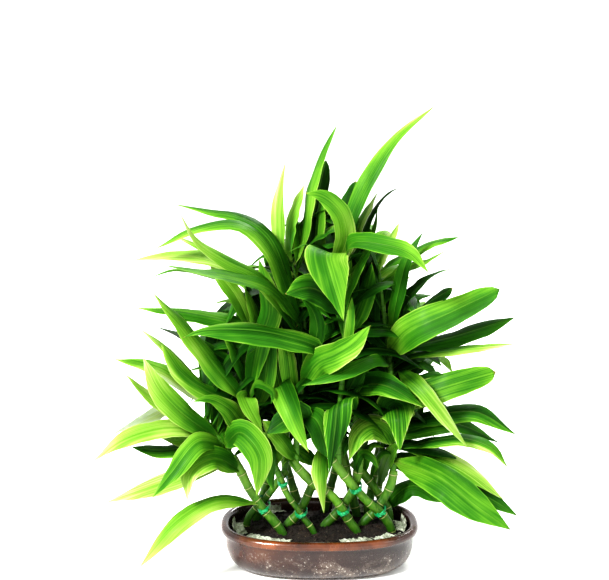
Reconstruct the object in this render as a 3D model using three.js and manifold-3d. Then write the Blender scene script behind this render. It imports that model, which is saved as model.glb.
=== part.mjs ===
// Lucky bamboo (Dracaena sanderiana): criss-crossed canes with leafy shoots in an oval glazed dish.
// Millimetres, +Z up. The origin is the centre of the dish's flat underside, and -Y faces the viewer.
import * as THREE from 'three';
import { mergeVertices } from 'three/addons/utils/BufferGeometryUtils.js';
import Module from 'manifold-3d';

const wasm = await Module();
wasm.setup();

// ---- Driving dimensions ----
const DISH_LENGTH = 199;
const DISH_DEPTH = 126;
const DISH_HEIGHT = 45;
const DISH_CORNER = 2.5; // exponent of the oval outline: 2 is an ellipse
const DISH_SIDES = 24;
const SOIL_LEVEL = 38;
const CANE_THICK = 9.4;
const BURIED_TO = 18; // height of the lower end of every cane, inside the soil
const GAP = 0.4; // clearance between pieces that touch
const BLADE_THICK = 0.8;
const SLIVER = 0.2; // edges shorter than this, left where leaves are fused, are closed up
const LOWEST_LEAF = 5; // no leaf hangs closer than this to what the dish stands on

// ---- Where the photograph was taken from: a pixel at a chosen nearness is a point on the plant ----
const PHOTO_MIDDLE = [304.5, 290];
const PHOTO_FOCAL = 1154; // in pixels
const PHOTO_EYE = new THREE.Vector3(-15, -1100, 500);
const PHOTO_DOWN = THREE.MathUtils.degToRad(11.25);
const LOOK = new THREE.Vector3(0, Math.cos(PHOTO_DOWN), -Math.sin(PHOTO_DOWN));
const LIFT = new THREE.Vector3(0, Math.sin(PHOTO_DOWN), Math.cos(PHOTO_DOWN));
const UP = new THREE.Vector3(0, 0, 1);

// The point seen at pixel (x, y) that lies `near` millimetres in front of the dish's middle
function seen([x, y, near]) {
  const ray = LOOK.clone().multiplyScalar(PHOTO_FOCAL);
  ray.x += x - PHOTO_MIDDLE[0];
  ray.addScaledVector(LIFT, PHOTO_MIDDLE[1] - y);
  return PHOTO_EYE.clone().addScaledVector(ray, (-near - PHOTO_EYE.y) / ray.y);
}

function pixelOf(point) {
  const arm = point.clone().sub(PHOTO_EYE);
  const scale = PHOTO_FOCAL / arm.dot(LOOK);
  return new THREE.Vector2(PHOTO_MIDDLE[0] + arm.x * scale, PHOTO_MIDDLE[1] - arm.dot(LIFT) * scale);
}

// A repeatable draw between 0 and 1
function drawn(seed) {
  const wide = Math.sin(seed * 12.9898) * 43758.5453;
  return wide - Math.floor(wide);
}

// ---- Closed skins and solids ----
function skin(points, faces) {
  const geometry = new THREE.BufferGeometry();
  geometry.setAttribute('position', new THREE.Float32BufferAttribute(points.flatMap((p) => [p.x, p.y, p.z]), 3));
  geometry.setIndex(faces.flat());
  return geometry;
}

function solidOf(geometry) {
  const bare = geometry.clone();
  bare.deleteAttribute('normal');
  bare.deleteAttribute('uv');
  const merged = mergeVertices(bare, 1e-4);
  const vertProperties = Float32Array.from(merged.attributes.position.array);
  const triVerts = Uint32Array.from(merged.index.array);
  return new wasm.Manifold(new wasm.Mesh({ numProp: 3, vertProperties, triVerts }));
}

function geometryOf(solid) {
  const mesh = solid.getMesh();
  const geometry = new THREE.BufferGeometry();
  geometry.setAttribute('position', new THREE.BufferAttribute(Float32Array.from(mesh.vertProperties), 3));
  geometry.setIndex(new THREE.BufferAttribute(Uint32Array.from(mesh.triVerts), 1));
  const faceted = geometry.toNonIndexed();
  faceted.computeVertexNormals();
  return faceted;
}

// One body of a fused solid: loose scraps are dropped and sealed hollows filled
function wholeOf(solid) {
  const bodies = solid.decompose();
  return bodies.reduce((most, body) => (body.volume() > most.volume() ? body : most));
}

// A round rod along a curve, with its own radius at each ring
function rod(curve, radii, sides) {
  const last = radii.length - 1;
  const frames = curve.computeFrenetFrames(last, false);
  const points = [];
  const faces = [];
  radii.forEach((radius, i) => {
    const centre = curve.getPointAt(i / last);
    for (let j = 0; j < sides; j += 1) {
      const turn = (2 * Math.PI * j) / sides;
      const arm = frames.normals[i].clone().multiplyScalar(radius * Math.cos(turn));
      points.push(arm.addScaledVector(frames.binormals[i], radius * Math.sin(turn)).add(centre));
    }
  });
  for (let i = 0; i < last; i += 1) {
    for (let j = 0; j < sides; j += 1) {
      const a = i * sides + j;
      const b = i * sides + ((j + 1) % sides);
      faces.push([a, b, b + sides], [a, b + sides, a + sides]);
    }
  }
  for (let j = 1; j < sides - 1; j += 1) {
    faces.push([0, j + 1, j], [last * sides, last * sides + j, last * sides + j + 1]);
  }
  return skin(points, faces);
}

// A thin folded strip: each station has a left edge, a rib, a right edge and the way its upper face looks.
// Both faces are split along the same diagonals. It closes on the point `tip`, or with a blunt end.
function strip(stations, thick, tip) {
  const points = [];
  const faces = [];
  for (const { left, rib, right, face } of stations) {
    for (const [at, side] of [[left, 1], [rib, 1], [right, 1], [right, -1], [rib, -1], [left, -1]]) {
      points.push(at.clone().addScaledVector(face, (side * thick) / 2));
    }
  }
  const last = (stations.length - 1) * 6;
  for (let i = 0; i < last; i += 6) {
    for (let j = 0; j < 6; j += 1) {
      const a = i + j;
      const b = i + ((j + 1) % 6);
      const upper = j < 3;
      faces.push(upper ? [a, b, b + 6] : [a, b, a + 6], upper ? [a, b + 6, a + 6] : [b, b + 6, a + 6]);
    }
  }
  faces.push([0, 4, 1], [0, 5, 4], [1, 3, 2], [1, 4, 3]);
  if (tip) {
    points.push(tip);
    for (let j = 0; j < 6; j += 1) faces.push([last + j, last + ((j + 1) % 6), last + 6]);
  } else {
    faces.push([last, last + 1, last + 4], [last, last + 4, last + 5]);
    faces.push([last + 1, last + 2, last + 3], [last + 1, last + 3, last + 4]);
  }
  return skin(points, faces);
}

// ---- Dish: a lathed wall, pressed into an oval that keeps its wall thickness all round ----
const DISH_HALF = DISH_LENGTH / 2;
const DISH_FLATTER = (DISH_LENGTH - DISH_DEPTH) / 2;
const DISH_OUTSIDE = [[0, 0], [76, 0], [81, 1.4], [87, 5.5], [91.5, 12], [94, 20], [95.6, 36.5]];
const DISH_RIM = [[98.6, 37.6], [DISH_HALF, 41.3], [97.8, 44.2], [94.6, DISH_HEIGHT], [91.6, 43.2]];
const DISH_INSIDE = [[90, 37], [88, 20], [83, 9.5], [74, 6], [0, 5.5]];

function ovalPoint(reach, turn, height) {
  const widest = DISH_OUTSIDE[1][0];
  const across = reach > widest ? reach - DISH_FLATTER : (reach * (widest - DISH_FLATTER)) / widest;
  const power = 2 / DISH_CORNER;
  const c = Math.cos(turn);
  const s = Math.sin(turn);
  const x = reach * Math.sign(c) * Math.abs(c) ** power;
  return new THREE.Vector3(x, across * Math.sign(s) * Math.abs(s) ** power, height);
}

function ovalLathe(profile) {
  const outline = profile.map(([reach, height]) => new THREE.Vector2(reach, height));
  const geometry = new THREE.LatheGeometry(outline, DISH_SIDES);
  const places = geometry.attributes.position;
  for (let i = 0; i < places.count; i += 1) {
    const [x, height, z] = [places.getX(i), places.getY(i), places.getZ(i)];
    const reach = Math.hypot(x, z);
    const at = ovalPoint(reach < 1e-6 ? 0 : reach, Math.atan2(x, z), height);
    places.setXYZ(i, at.x, at.y, at.z);
  }
  return geometry;
}

const dish = solidOf(ovalLathe([...DISH_OUTSIDE, ...DISH_RIM, ...DISH_INSIDE]));

// ---- Soil: it fills the dish, heaped a little towards the middle ----
const SOIL_WALL = [[0, 6], [73.6, 6.5], [82.4, 10], [87.5, 20.3]];
const SOIL_TOP = [[88.2, 34.2], [76, 36.8], [48, 39.2], [0, 40.6]];

function soilHeight(reach) {
  const outer = SOIL_TOP.findIndex(([edge]) => edge <= reach) - 1;
  const [[farEdge, low], [nearEdge, high]] = [SOIL_TOP[outer], SOIL_TOP[outer + 1]];
  return low + ((high - low) * (farEdge - reach)) / (farEdge - nearEdge);
}

const soilFill = solidOf(ovalLathe([...SOIL_WALL, ...SOIL_TOP]));

// ---- Stalks: a cane in the soil, the leafy shoot that grew from its top, and the leaves ----
// Ways are [x, y, near]: pixels of the photograph and millimetres nearer than the dish's middle.
// A leaf's way starts where it leaves the shoot. `wide` is the blade's real width, and `turn` rolls it:
// at 0 its upper face looks at the viewer, at 90 along the outside of its arch.
const leaf = (wide, turn, ...way) => ({ way, wide, turn });
// A leaf that arches over towards the viewer: `tilt` is how far its crest slopes down to the right, in degrees
const arching = (wide, tilt, ...way) => ({ way, wide, tilt });

const STALKS = [
  {
    name: 'stalk_left_low',
    cane: [[283, 534, 21], [262, 507, 20], [250, 490, 20], [240, 470, 22], [232, 456, 23]],
    shoot: [[236, 464, 22], [226, 448, 26], [216, 434, 30], [204, 416, 34]],
    leaves: [
      leaf(27, 20, [222, 440, 36], [242, 433, 62], [260, 456, 76], [257, 497, 74]),
      leaf(23, 10, [215, 428, 40], [180, 412, 60], [158, 388, 70], [143, 357, 76]),
      leaf(20, 45, [196, 422, 38], [148, 393, 46], [125, 374, 50]),
      leaf(22, 30, [218, 440, 40], [197, 442, 68], [172, 472, 84], [152, 498, 88]),
      leaf(24, 25, [230, 460, 34], [212, 458, 60], [190, 472, 76], [187, 501, 80]),
      leaf(22, 42, [215, 465, 34], [165, 482, 52], [105, 503, 64]),
      leaf(22, 45, [215, 433, 36], [175, 427, 52], [125, 438, 66], [92, 462, 74]),
      leaf(18, 50, [200, 437, 26], [180, 440, 32], [157, 437, 34]),
      leaf(21, 50, [205, 443, 30], [165, 450, 42], [131, 447, 48]),
      leaf(22, 125, [200, 412, 28], [170, 407, 34], [140, 420, 42], [107, 437, 46]),
      leaf(20, 40, [248, 500, 32], [215, 502, 62], [180, 522, 84], [139, 568, 98]),
      leaf(20, 50, [228, 437, 32], [220, 420, 44], [213, 402, 48]),
    ],
  },
  {
    name: 'stalk_left_mid',
    cane: [[314, 533, 21], [303, 517, 19], [297, 508, 18], [287, 494, 17], [280, 476, 16]],
    caneThick: 6.6,
    shoot: [[282, 482, 16], [268, 450, 14], [256, 420, 12], [246, 392, 10], [247, 362, 5], [254, 330, 0]],
    leaves: [
      leaf(20, 52, [200, 395, 22], [160, 370, 32], [114, 359, 38]),
      leaf(24, 35, [230, 400, 28], [205, 390, 44], [180, 372, 54], [161, 344, 60]),
      leaf(20, 52, [205, 385, 22], [165, 347, 34], [140, 329, 40]),
      leaf(21, 25, [246, 430, 28], [228, 408, 42], [209, 399, 48], [192, 402, 50]),
      leaf(18, 38, [246, 396, 24], [246, 400, 42], [263, 434, 54]),
      leaf(12, 60, [246, 390, 24], [258, 384, 36], [273, 393, 44], [271, 404, 46]),
      leaf(25, 38, [243, 398, 20], [218, 370, 34], [183, 325, 46], [152, 292, 52]),
      leaf(24, 30, [245, 388, 14], [258, 345, 24], [270, 310, 26], [259, 259, 18]),
      leaf(18, 60, [245, 375, 8], [235, 350, 16], [215, 322, 22]),
      leaf(17, 45, [222, 358, 12], [182, 337, 26], [157, 327, 32]),
      leaf(20, 42, [240, 325, 14], [185, 312, 28], [135, 308, 34]),
      leaf(18, 40, [252, 320, 6], [235, 295, 18], [208, 262, 24]),
      leaf(15, 58, [256, 322, 5], [250, 300, 8], [243, 285, 10]),
      leaf(18, 60, [263, 320, -6], [255, 300, -10], [245, 280, -14]),
      leaf(22, 40, [257, 430, 26], [270, 455, 44], [273, 492, 50]),
    ],
  },
  {
    name: 'stalk_middle_left',
    cane: [[357, 532, 17], [350, 522, 17], [333, 497, 18], [313, 483, 20], [300, 470, 21], [291, 460, 22]],
    shoot: [[296, 466, 21], [297, 430, 16], [301, 390, 8], [306, 345, 0], [301, 300, -5], [292, 262, -8]],
    leaves: [
      leaf(20, 50, [305, 340, 6], [270, 238, 20], [240, 217, 18], [208, 211, 14], [173, 204, 12]),
      leaf(21, 44, [305, 340, 12], [268, 248, 34], [240, 225, 40], [200, 228, 46], [155, 249, 50]),
      leaf(19, 55, [245, 275, 12], [215, 260, 22], [175, 255, 30], [129, 261, 36]),
      leaf(18, 48, [300, 335, 10], [262, 280, 28], [225, 260, 40], [196, 240, 46], [179, 212, 48]),
      leaf(13, 58, [300, 325, 6], [262, 286, 16], [230, 265, 24], [200, 247, 26], [169, 234, 26]),
      leaf(22, 50, [300, 320, 10], [270, 290, 34], [230, 277, 50], [205, 273, 58], [163, 265, 64]),
      leaf(14, 70, [230, 280, -2], [175, 270, 4], [152, 277, 5]),
      leaf(26, 40, [318, 348, 26], [285, 336, 48], [250, 330, 60], [200, 331, 66], [182, 338, 66]),
      leaf(28, 10, [300, 371, 20], [318, 362, 36], [336, 354, 48], [354, 343, 52], [371, 325, 50]),
      leaf(26, 20, [299, 410, 22], [316, 420, 38], [330, 460, 36]),
      leaf(21, 35, [303, 447, 24], [280, 438, 38], [262, 420, 42]),
      leaf(15, 40, [283, 262, -6], [277, 215, -2], [281, 182, -2], [286, 160, -4]),
      leaf(19, 50, [284, 250, -12], [288, 225, -16], [304, 185, -22]),
      leaf(16, 62, [298, 260, -12], [297, 230, -22], [296, 196, -30]),
      leaf(20, 58, [302, 250, -14], [310, 190, -18], [322, 155, -22], [337, 125, -24]),
      leaf(20, 52, [308, 245, -26], [315, 210, -32], [326, 160, -36]),
      leaf(18, 55, [288, 385, -6], [280, 360, -10], [275, 335, -14]),
      leaf(25, 12, [306, 416, 26], [298, 414, 36], [283, 422, 42], [266, 434, 44]),
    ],
  },
  {
    name: 'stalk_middle',
    cane: [[391, 529, 11], [381, 513, 13], [369, 503, 14], [355, 488, 16], [345, 476, 17], [332, 459, 18]],
    shoot: [[338, 466, 17], [339, 430, 17], [342, 380, 18], [345, 333, 20], [347, 300, 18], [345, 256, 12]],
    leaves: [
      arching(40, 14, [341, 263, 16], [332, 254, 36], [326, 256, 56], [331, 276, 70], [338, 300, 76], [344, 322, 78]),
      leaf(28, 5, [338, 306, 28], [310, 288, 60], [285, 294, 80]),
      leaf(22, 20, [340, 262, 26], [346, 235, 40], [340, 212, 50], [322, 196, 56], [305, 193, 60]),
      leaf(18, 60, [322, 250, -8], [321, 220, -14], [322, 190, -18]),
      leaf(20, 40, [350, 240, 0], [349, 210, -6], [356, 181, -10]),
      leaf(16, 30, [344, 262, 14], [352, 215, 12], [370, 176, 8], [395, 139, 2], [436, 105, -6]),
      leaf(15, 65, [358, 250, 0], [370, 215, -6], [388, 193, -10], [399, 188, -12]),
      leaf(18, 50, [352, 250, 4], [363, 220, -2], [378, 192, -8]),
      leaf(22, 40, [346, 260, 18], [353, 243, 38], [380, 244, 52], [410, 253, 60], [429, 273, 62]),
      leaf(16, 58, [347, 300, 26], [355, 272, 32], [368, 250, 36], [380, 238, 38]),
      leaf(12, 65, [362, 262, -4], [375, 225, -10], [378, 203, -14]),
      arching(28, -35, [348, 414, 18], [344, 401, 34], [338, 404, 46], [335, 428, 54], [329, 474, 54]),
      leaf(26, 15, [338, 430, 26], [325, 416, 38], [312, 422, 42], [303, 442, 42]),
    ],
  },
  {
    name: 'stalk_right_top',
    cane: [[362, 525, -1], [374, 512, -3], [383, 500, -5], [391, 484, -7], [394, 470, -8]],
    shoot: [[393, 476, -8], [394, 440, -10], [393, 400, -12], [389, 355, -12], [384, 315, -14], [378, 262, -16]],
    leaves: [
      leaf(34, 12, [398, 454, 14], [440, 478, 54], [475, 505, 76], [511, 530, 92]),
      leaf(38, 5, [394, 416, 4], [396, 408, 22], [398, 418, 40], [400, 452, 46]),
      leaf(26, 10, [385, 431, 8], [371, 425, 22], [357, 435, 34], [349, 461, 38]),
      leaf(18, 52, [392, 356, 14], [372, 359, 44], [335, 375, 60], [301, 386, 58]),
      leaf(27, 15, [402, 404, 8], [446, 387, 32], [496, 372, 42]),
      leaf(17, 48, [402, 440, 6], [460, 438, 34], [492, 448, 46], [508, 468, 48]),
      leaf(16, 42, [392, 335, 4], [399, 290, 14], [409, 255, 14], [423, 232, 10]),
      leaf(24, 30, [372, 335, -18], [368, 290, -22], [375, 256, -26]),
      leaf(19, 60, [390, 315, -4], [415, 290, 8], [440, 272, 14], [453, 269, 16]),
      leaf(22, 50, [405, 325, 8], [430, 302, 18], [453, 288, 24]),
      leaf(20, 60, [400, 258, -10], [430, 243, -6], [459, 237, -2]),
      leaf(19, 62, [405, 270, 0], [425, 262, 8], [447, 250, 12]),
      leaf(18, 62, [380, 258, -8], [388, 244, -10], [399, 223, -12]),
      leaf(31, 10, [376, 345, 12], [410, 331, 30], [452, 312, 38], [500, 289, 46]),
      leaf(22, 50, [400, 352, -4], [460, 335, 6], [516, 317, 8]),
      leaf(14, 60, [410, 357, 2], [460, 349, 20], [516, 344, 26]),
    ],
  },
  {
    name: 'stalk_right_mid',
    cane: [[388, 511, -16], [376, 490, -18], [362, 472, -20], [352, 462, -21]],
    shoot: [[358, 468, -20], [366, 440, -22], [378, 408, -26], [394, 376, -28], [404, 345, -30]],
    leaves: [
      leaf(20, 30, [396, 360, 16], [426, 394, 56], [448, 422, 68], [469, 449, 70]),
      leaf(22, 55, [402, 362, -24], [420, 362, -14], [437, 375, -8]),
      leaf(24, 40, [400, 330, -36], [430, 318, -46], [452, 300, -52]),
      leaf(22, 40, [388, 380, -34], [350, 350, -46], [330, 318, -52]),
      leaf(22, 40, [372, 420, -30], [340, 400, -44], [318, 370, -52]),
    ],
  },
  {
    name: 'stalk_right_low',
    cane: [[381, 516, -28], [379, 490, -30], [382, 470, -30], [379, 457, -30]],
    caneThick: 6.6,
    shoot: [[380, 462, -30], [384, 440, -30], [394, 415, -32], [400, 398, -34]],
    leaves: [
      leaf(21, 40, [415, 420, -14], [475, 412, 6], [517, 435, 12]),
      leaf(21, 40, [407, 432, -8], [455, 424, 18], [500, 443, 28]),
      leaf(20, 45, [408, 443, -12], [440, 450, 4], [460, 460, 10]),
      leaf(20, 42, [402, 446, -12], [425, 452, 6], [465, 470, 30], [504, 500, 42]),
      leaf(28, 20, [400, 462, -18], [440, 480, -6], [485, 496, 6], [518, 516, 10]),
      leaf(22, 25, [386, 497, -30], [412, 486, -12], [447, 503, 4]),
      leaf(17, 60, [408, 432, -26], [418, 415, -30], [424, 400, -34]),
      leaf(18, 45, [384, 470, -22], [390, 455, -14], [400, 442, -8]),
    ],
  },
  {
    name: 'stalk_middle_right',
    cane: [[323, 528, 4], [335, 515, 3], [347, 500, 2], [354, 488, 1], [358, 470, 0], [360, 455, -2]],
    shoot: [[359, 460, -1], [357, 430, -2], [351, 395, -4], [344, 358, -10], [340, 320, -18], [336, 285, -26]],
    leaves: [
      leaf(24, 15, [349, 378, 10], [386, 386, 46], [425, 408, 60]),
      leaf(22, 45, [320, 300, -34], [312, 262, -42], [300, 232, -48]),
      leaf(22, 45, [344, 290, -30], [356, 252, -40], [362, 222, -46]),
    ],
  },
  {
    name: 'stalk_middle_low',
    cane: [[286, 527, 4], [297, 515, 3], [305, 501, 2], [310, 490, 1], [316, 478, 0], [322, 466, -2]],
    shoot: [[319, 472, -1], [322, 440, -6], [320, 400, -14], [323, 360, -24], [320, 325, -32]],
    leaves: [
      leaf(18, 25, [318, 440, 4], [321, 475, 26], [324, 514, 28]),
      leaf(18, 40, [307, 455, 6], [295, 450, 14], [283, 460, 16]),
      leaf(22, 45, [322, 330, -30], [300, 290, -36], [285, 250, -40]),
      leaf(22, 45, [318, 395, -20], [290, 360, -26], [262, 348, -28]),
    ],
  },
  {
    name: 'stalk_left_back',
    cane: [[248, 519, -3], [258, 506, -4], [265, 499, -5], [272, 490, -6], [279, 480, -7], [287, 470, -8]],
    caneThick: 7.4,
    shoot: [[284, 474, -8], [287, 450, -8], [286, 420, -10], [283, 388, -12], [278, 356, -16]],
    leaves: [
      leaf(23, 10, [283, 398, 8], [280, 386, 24], [286, 400, 44], [297, 428, 60], [309, 453, 68]),
      leaf(20, 40, [282, 430, 2], [275, 450, 14], [270, 472, 18]),
      leaf(21, 45, [280, 385, -22], [268, 355, -30], [250, 326, -36]),
      leaf(22, 45, [284, 410, -26], [262, 400, -36], [238, 410, -42]),
    ],
  },
];

// Stalks at the back of the dish: their canes stand at a foot and lean, and their leaves follow a rule.
// `facing` is the way the middle leaf points (0 is +X, 90 is +Y) and `spread` what the leaves share.
const BACK_STALKS = [
  { name: 'stalk_back_1', foot: [-64, 19], lean: [22, 5], rise: [-18, 30, 205], count: 9, facing: 150, spread: 110 },
  { name: 'stalk_back_2', foot: [-20, 38], lean: [-22, 6], rise: [8, 30, 270], count: 10, facing: 125, spread: 130 },
  { name: 'stalk_back_3', foot: [6, 41], lean: [20, 5], rise: [-14, 34, 315], count: 11, facing: 85, spread: 150 },
  { name: 'stalk_back_4', foot: [39, 26], lean: [-17, 2], rise: [34, 22, 285], count: 10, facing: 55, spread: 130 },
  { name: 'stalk_back_5', foot: [51, 39], lean: [14, 4], rise: [6, 26, 200], count: 9, facing: 25, spread: 110 },
];
const CANE_RISE = 78; // height of a back cane above the soil

// The bush's dense middle in the photograph: leaves placed by rule stay inside it as seen from there
const BUSH_OUTLINE = [
  [300, 205], [345, 190], [392, 236], [430, 290], [456, 350], [462, 405], [452, 462], [420, 492], [350, 490],
  [290, 490], [235, 480], [196, 452], [168, 405], [176, 355], [205, 310], [236, 262], [266, 232],
];

function insideBush(point) {
  const at = pixelOf(point);
  let inside = false;
  BUSH_OUTLINE.forEach(([x, y], i) => {
    const [nextX, nextY] = BUSH_OUTLINE[(i + 1) % BUSH_OUTLINE.length];
    const spans = y > at.y !== nextY > at.y;
    if (spans && at.x < x + ((nextX - x) * (at.y - y)) / (nextY - y)) inside = !inside;
  });
  return inside;
}

const smooth = (points) => new THREE.CatmullRomCurve3(points, false, 'centripetal');

// The cane's and shoot's middle lines; the cane runs on down into its hole in the soil
function linesOf(stalk) {
  let cane;
  let shoot;
  if (stalk.foot) {
    const foot = new THREE.Vector3(...stalk.foot, SOIL_LEVEL);
    const bend = foot.clone().add(new THREE.Vector3(stalk.lean[0] * 0.5, stalk.lean[1] * 0.5, CANE_RISE * 0.5));
    const top = foot.clone().add(new THREE.Vector3(...stalk.lean, CANE_RISE));
    const tip = top.clone().add(new THREE.Vector3(stalk.rise[0], stalk.rise[1], stalk.rise[2] - CANE_RISE));
    const mid = top.clone().lerp(tip, 0.5);
    mid.x += stalk.lean[0] * 0.2;
    cane = [foot, bend, top];
    shoot = [top.clone().lerp(bend, 0.2), mid, tip];
  } else {
    cane = stalk.cane.map(seen);
    shoot = stalk.shoot.map(seen);
  }
  const leanIn = cane[1].clone().sub(cane[0]).multiplyScalar(-0.4);
  const buried = new THREE.Vector3(cane[0].x + leanIn.x * 0.4, cane[0].y + leanIn.y * 0.4, BURIED_TO);
  return { cane: smooth([buried, ...cane]), shoot: smooth(shoot) };
}

// A cane is a touch thicker at its joints; a shoot thins towards its top
const CANE_RINGS = [0.92, 0.96, 1.08, 0.95, 0.96, 1.08, 0.93];
const SHOOT_RINGS = [1, 0.95, 0.82, 0.62, 0.42];
const SHOOT_THICK = 6.6;

function caneSolid(stalk, grow) {
  const radius = (stalk.caneThick ?? CANE_THICK) / 2;
  return solidOf(rod(stalk.lines.cane, CANE_RINGS.map((share) => share * radius + grow), 6));
}

function shootSolid(stalk, grow) {
  return solidOf(rod(stalk.lines.shoot, SHOOT_RINGS.map((share) => (share * SHOOT_THICK) / 2 + grow), 5));
}

// ---- Leaves ----
const BLADE_ALONG = [0, 0.23, 0.5, 0.78];
const BLADE_WIDTH = [0.1, 0.7, 1, 0.62];
const BLADE_FOLD = [0.5, 0.34, 0.2, 0.14]; // rise of the edges over the rib, against the half width
const STEP_ASIDE = 7; // how far a try moves a traced tip towards or away from the viewer
const TRIES = 21;
const ROOT_LOW = 16; // pixels that a leaf is rooted below the place where it shows

// The tries go 0, 1, -1, 2, -2 and so on
const tryStep = (n) => (n % 2 ? (n + 1) / 2 : -n / 2);

// A traced leaf keeps its pixels: a try only slides it along the lines of sight
function tracedCurve(stalk, { way }, n) {
  const first = new THREE.Vector2(...way[0]);
  const away = first.clone().sub(new THREE.Vector2(...way[1])).normalize();
  const wanted = first.clone().addScaledVector(away, ROOT_LOW * 0.4);
  wanted.y += ROOT_LOW * 0.6;
  const axis = [...stalk.lines.shoot.getSpacedPoints(40), ...stalk.lines.cane.getSpacedPoints(20)];
  const distance = (point) => pixelOf(point).distanceTo(wanted);
  const root = axis.reduce((best, point) => (distance(point) < distance(best) ? point : best));
  const last = way.length - 1;
  const places = way.map(([x, y, near], i) => seen([x, y, near + tryStep(n) * STEP_ASIDE * ((i + 0.35) / last)]));
  if (pixelOf(root).distanceTo(first) < ROOT_LOW) places.shift();
  return smooth([root, ...places]);
}

// A leaf placed by rule rises from the shoot, arches over and is shortened until it stays in the bush
function ruledCurve(stalk, { index, seed }, n) {
  const height = (index + 0.6) / stalk.count;
  const root = stalk.lines.shoot.getPointAt(0.08 + 0.86 * height);
  const share = ((index * 0.618) % 1) - 0.5;
  const facing = THREE.MathUtils.degToRad(stalk.facing + stalk.spread * share + tryStep(n) * 9);
  const climb = THREE.MathUtils.degToRad(28 + 44 * height + 16 * drawn(seed));
  const droop = THREE.MathUtils.degToRad(62 + 40 * drawn(seed + 0.3));
  for (let length = 118 + 46 * drawn(seed + 0.6); length > 40; length *= 0.86) {
    const places = [root];
    for (let i = 1; i <= 4; i += 1) {
      const slope = climb - droop * (i / 4) ** 1.4;
      const step = new THREE.Vector3(Math.cos(facing), Math.sin(facing), 0).multiplyScalar(Math.cos(slope));
      step.z = Math.sin(slope);
      places.push(places[i - 1].clone().addScaledVector(step, length / 4));
    }
    if (places.slice(2).every(insideBush)) return smooth(places);
  }
  return null;
}

// Which way the upper face looks at a place on the leaf
function faceOf(leafPlan, along, place) {
  const face = new THREE.Vector3();
  if (leafPlan.tilt !== undefined) {
    const tilt = THREE.MathUtils.degToRad(leafPlan.tilt);
    face.crossVectors(along, new THREE.Vector3(Math.cos(tilt), 0, -Math.sin(tilt)));
  } else if (leafPlan.way) {
    const sight = PHOTO_EYE.clone().sub(place).normalize();
    const side = leafPlan.way.at(-1)[0] < leafPlan.way[0][0] ? 1 : -1;
    const turn = THREE.MathUtils.degToRad(leafPlan.turn);
    face.crossVectors(along, sight).multiplyScalar(side * Math.sin(turn));
    face.addScaledVector(sight, Math.cos(turn)).addScaledVector(UP, 0.12);
  } else {
    const across = new THREE.Vector3(-along.y, along.x, 0).normalize();
    across.z = 0.5 * (drawn(leafPlan.seed + 0.9) - 0.5);
    face.crossVectors(along, across);
  }
  return face.addScaledVector(along, -face.dot(along)).normalize();
}

function bladeSolid(leafPlan, curve, grow, from = 0) {
  const half = leafPlan.wide / 2;
  const stations = BLADE_ALONG.map((along, i) => {
    const u = Math.max(along, from + 0.01 * i);
    const rib = curve.getPointAt(u);
    const tangent = curve.getTangentAt(u);
    const face = faceOf(leafPlan, tangent, rib);
    const side = new THREE.Vector3().crossVectors(face, tangent);
    const reach = half * BLADE_WIDTH[i] + grow;
    const rise = half * BLADE_WIDTH[i] * BLADE_FOLD[i];
    const left = rib.clone().addScaledVector(side, reach).addScaledVector(face, rise);
    const right = rib.clone().addScaledVector(side, -reach).addScaledVector(face, rise);
    return { left, rib, right, face };
  });
  // Where a leaf rises and then arches towards the viewer, its back shows before the arch
  for (let i = stations.length - 2; i >= 0; i -= 1) {
    const { left, right, rib, face } = stations[i];
    const later = stations[i + 1];
    if (left.clone().sub(right).dot(later.left.clone().sub(later.right)) > 0) continue;
    const rise = face.clone().multiplyScalar(-2 * left.clone().lerp(right, 0.5).sub(rib).dot(face));
    stations[i] = { left: right.clone().add(rise), rib, right: left.clone().add(rise), face: face.negate() };
  }
  const tip = curve.getPointAt(1).addScaledVector(curve.getTangentAt(1), grow);
  return solidOf(strip(stations, BLADE_THICK + 2 * grow, tip));
}

// ---- Clearing: what would cross another piece is bent aside ----
const placed = []; // { owner, body, box } of every piece so far

function place(owner, body) {
  placed.push({ owner, body, box: body.boundingBox() });
}

function meets(body, others) {
  const box = body.boundingBox();
  return others.some((other) => {
    const apart = [0, 1, 2].some((k) => box.min[k] > other.box.max[k] || box.max[k] < other.box.min[k]);
    if (apart) return false;
    const shared = body.intersect(other.body);
    const crossing = shared.volume() > 1e-3;
    shared.delete();
    return crossing;
  });
}

// A leaf takes its first try that is clear of everything else; its own stalk it may touch near the root
function clearLeaf(stalk, leafPlan) {
  for (const ownStalkToo of [true, false]) {
    for (let n = 0; n < TRIES; n += 1) {
      const curve = leafPlan.way ? tracedCurve(stalk, leafPlan, n) : ruledCurve(stalk, leafPlan, n);
      if (curve === null || curve.getSpacedPoints(8).some((point) => point.z < LOWEST_LEAF)) continue;
      const others = placed.filter(({ owner }) => owner !== stalk.name);
      const kin = placed.filter(({ owner }) => owner === stalk.name);
      const room = bladeSolid(leafPlan, curve, GAP);
      const free = bladeSolid(leafPlan, curve, 0, 0.3);
      const blocked = meets(room, others) || (ownStalkToo && meets(free, kin));
      room.delete();
      free.delete();
      if (!blocked) return bladeSolid(leafPlan, curve, 0);
    }
  }
  return null;
}

// ---- Liner: crumpled scraps that lie on the soil's edge and curl up the wall ----
const LINER_THICK = 1.1;
const LINER_BEND = 86.2; // where a scrap turns up the wall, from the middle of the dish
const LINER_SEAT = 0.9; // height of its middle layer above the soil
const SCRAPS = [
  { from: 172, to: 200, climb: 6, lie: 10 },
  { from: 212, to: 249, climb: 3, lie: 14 },
  { from: 284, to: 304, climb: 4, lie: 16 },
  { from: 310, to: 332, climb: 5, lie: 12 },
  { from: 350, to: 376, climb: 6, lie: 9 },
  { from: 58, to: 84, climb: 6, lie: 10 },
  { from: 112, to: 140, climb: 5, lie: 12 },
];

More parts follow.
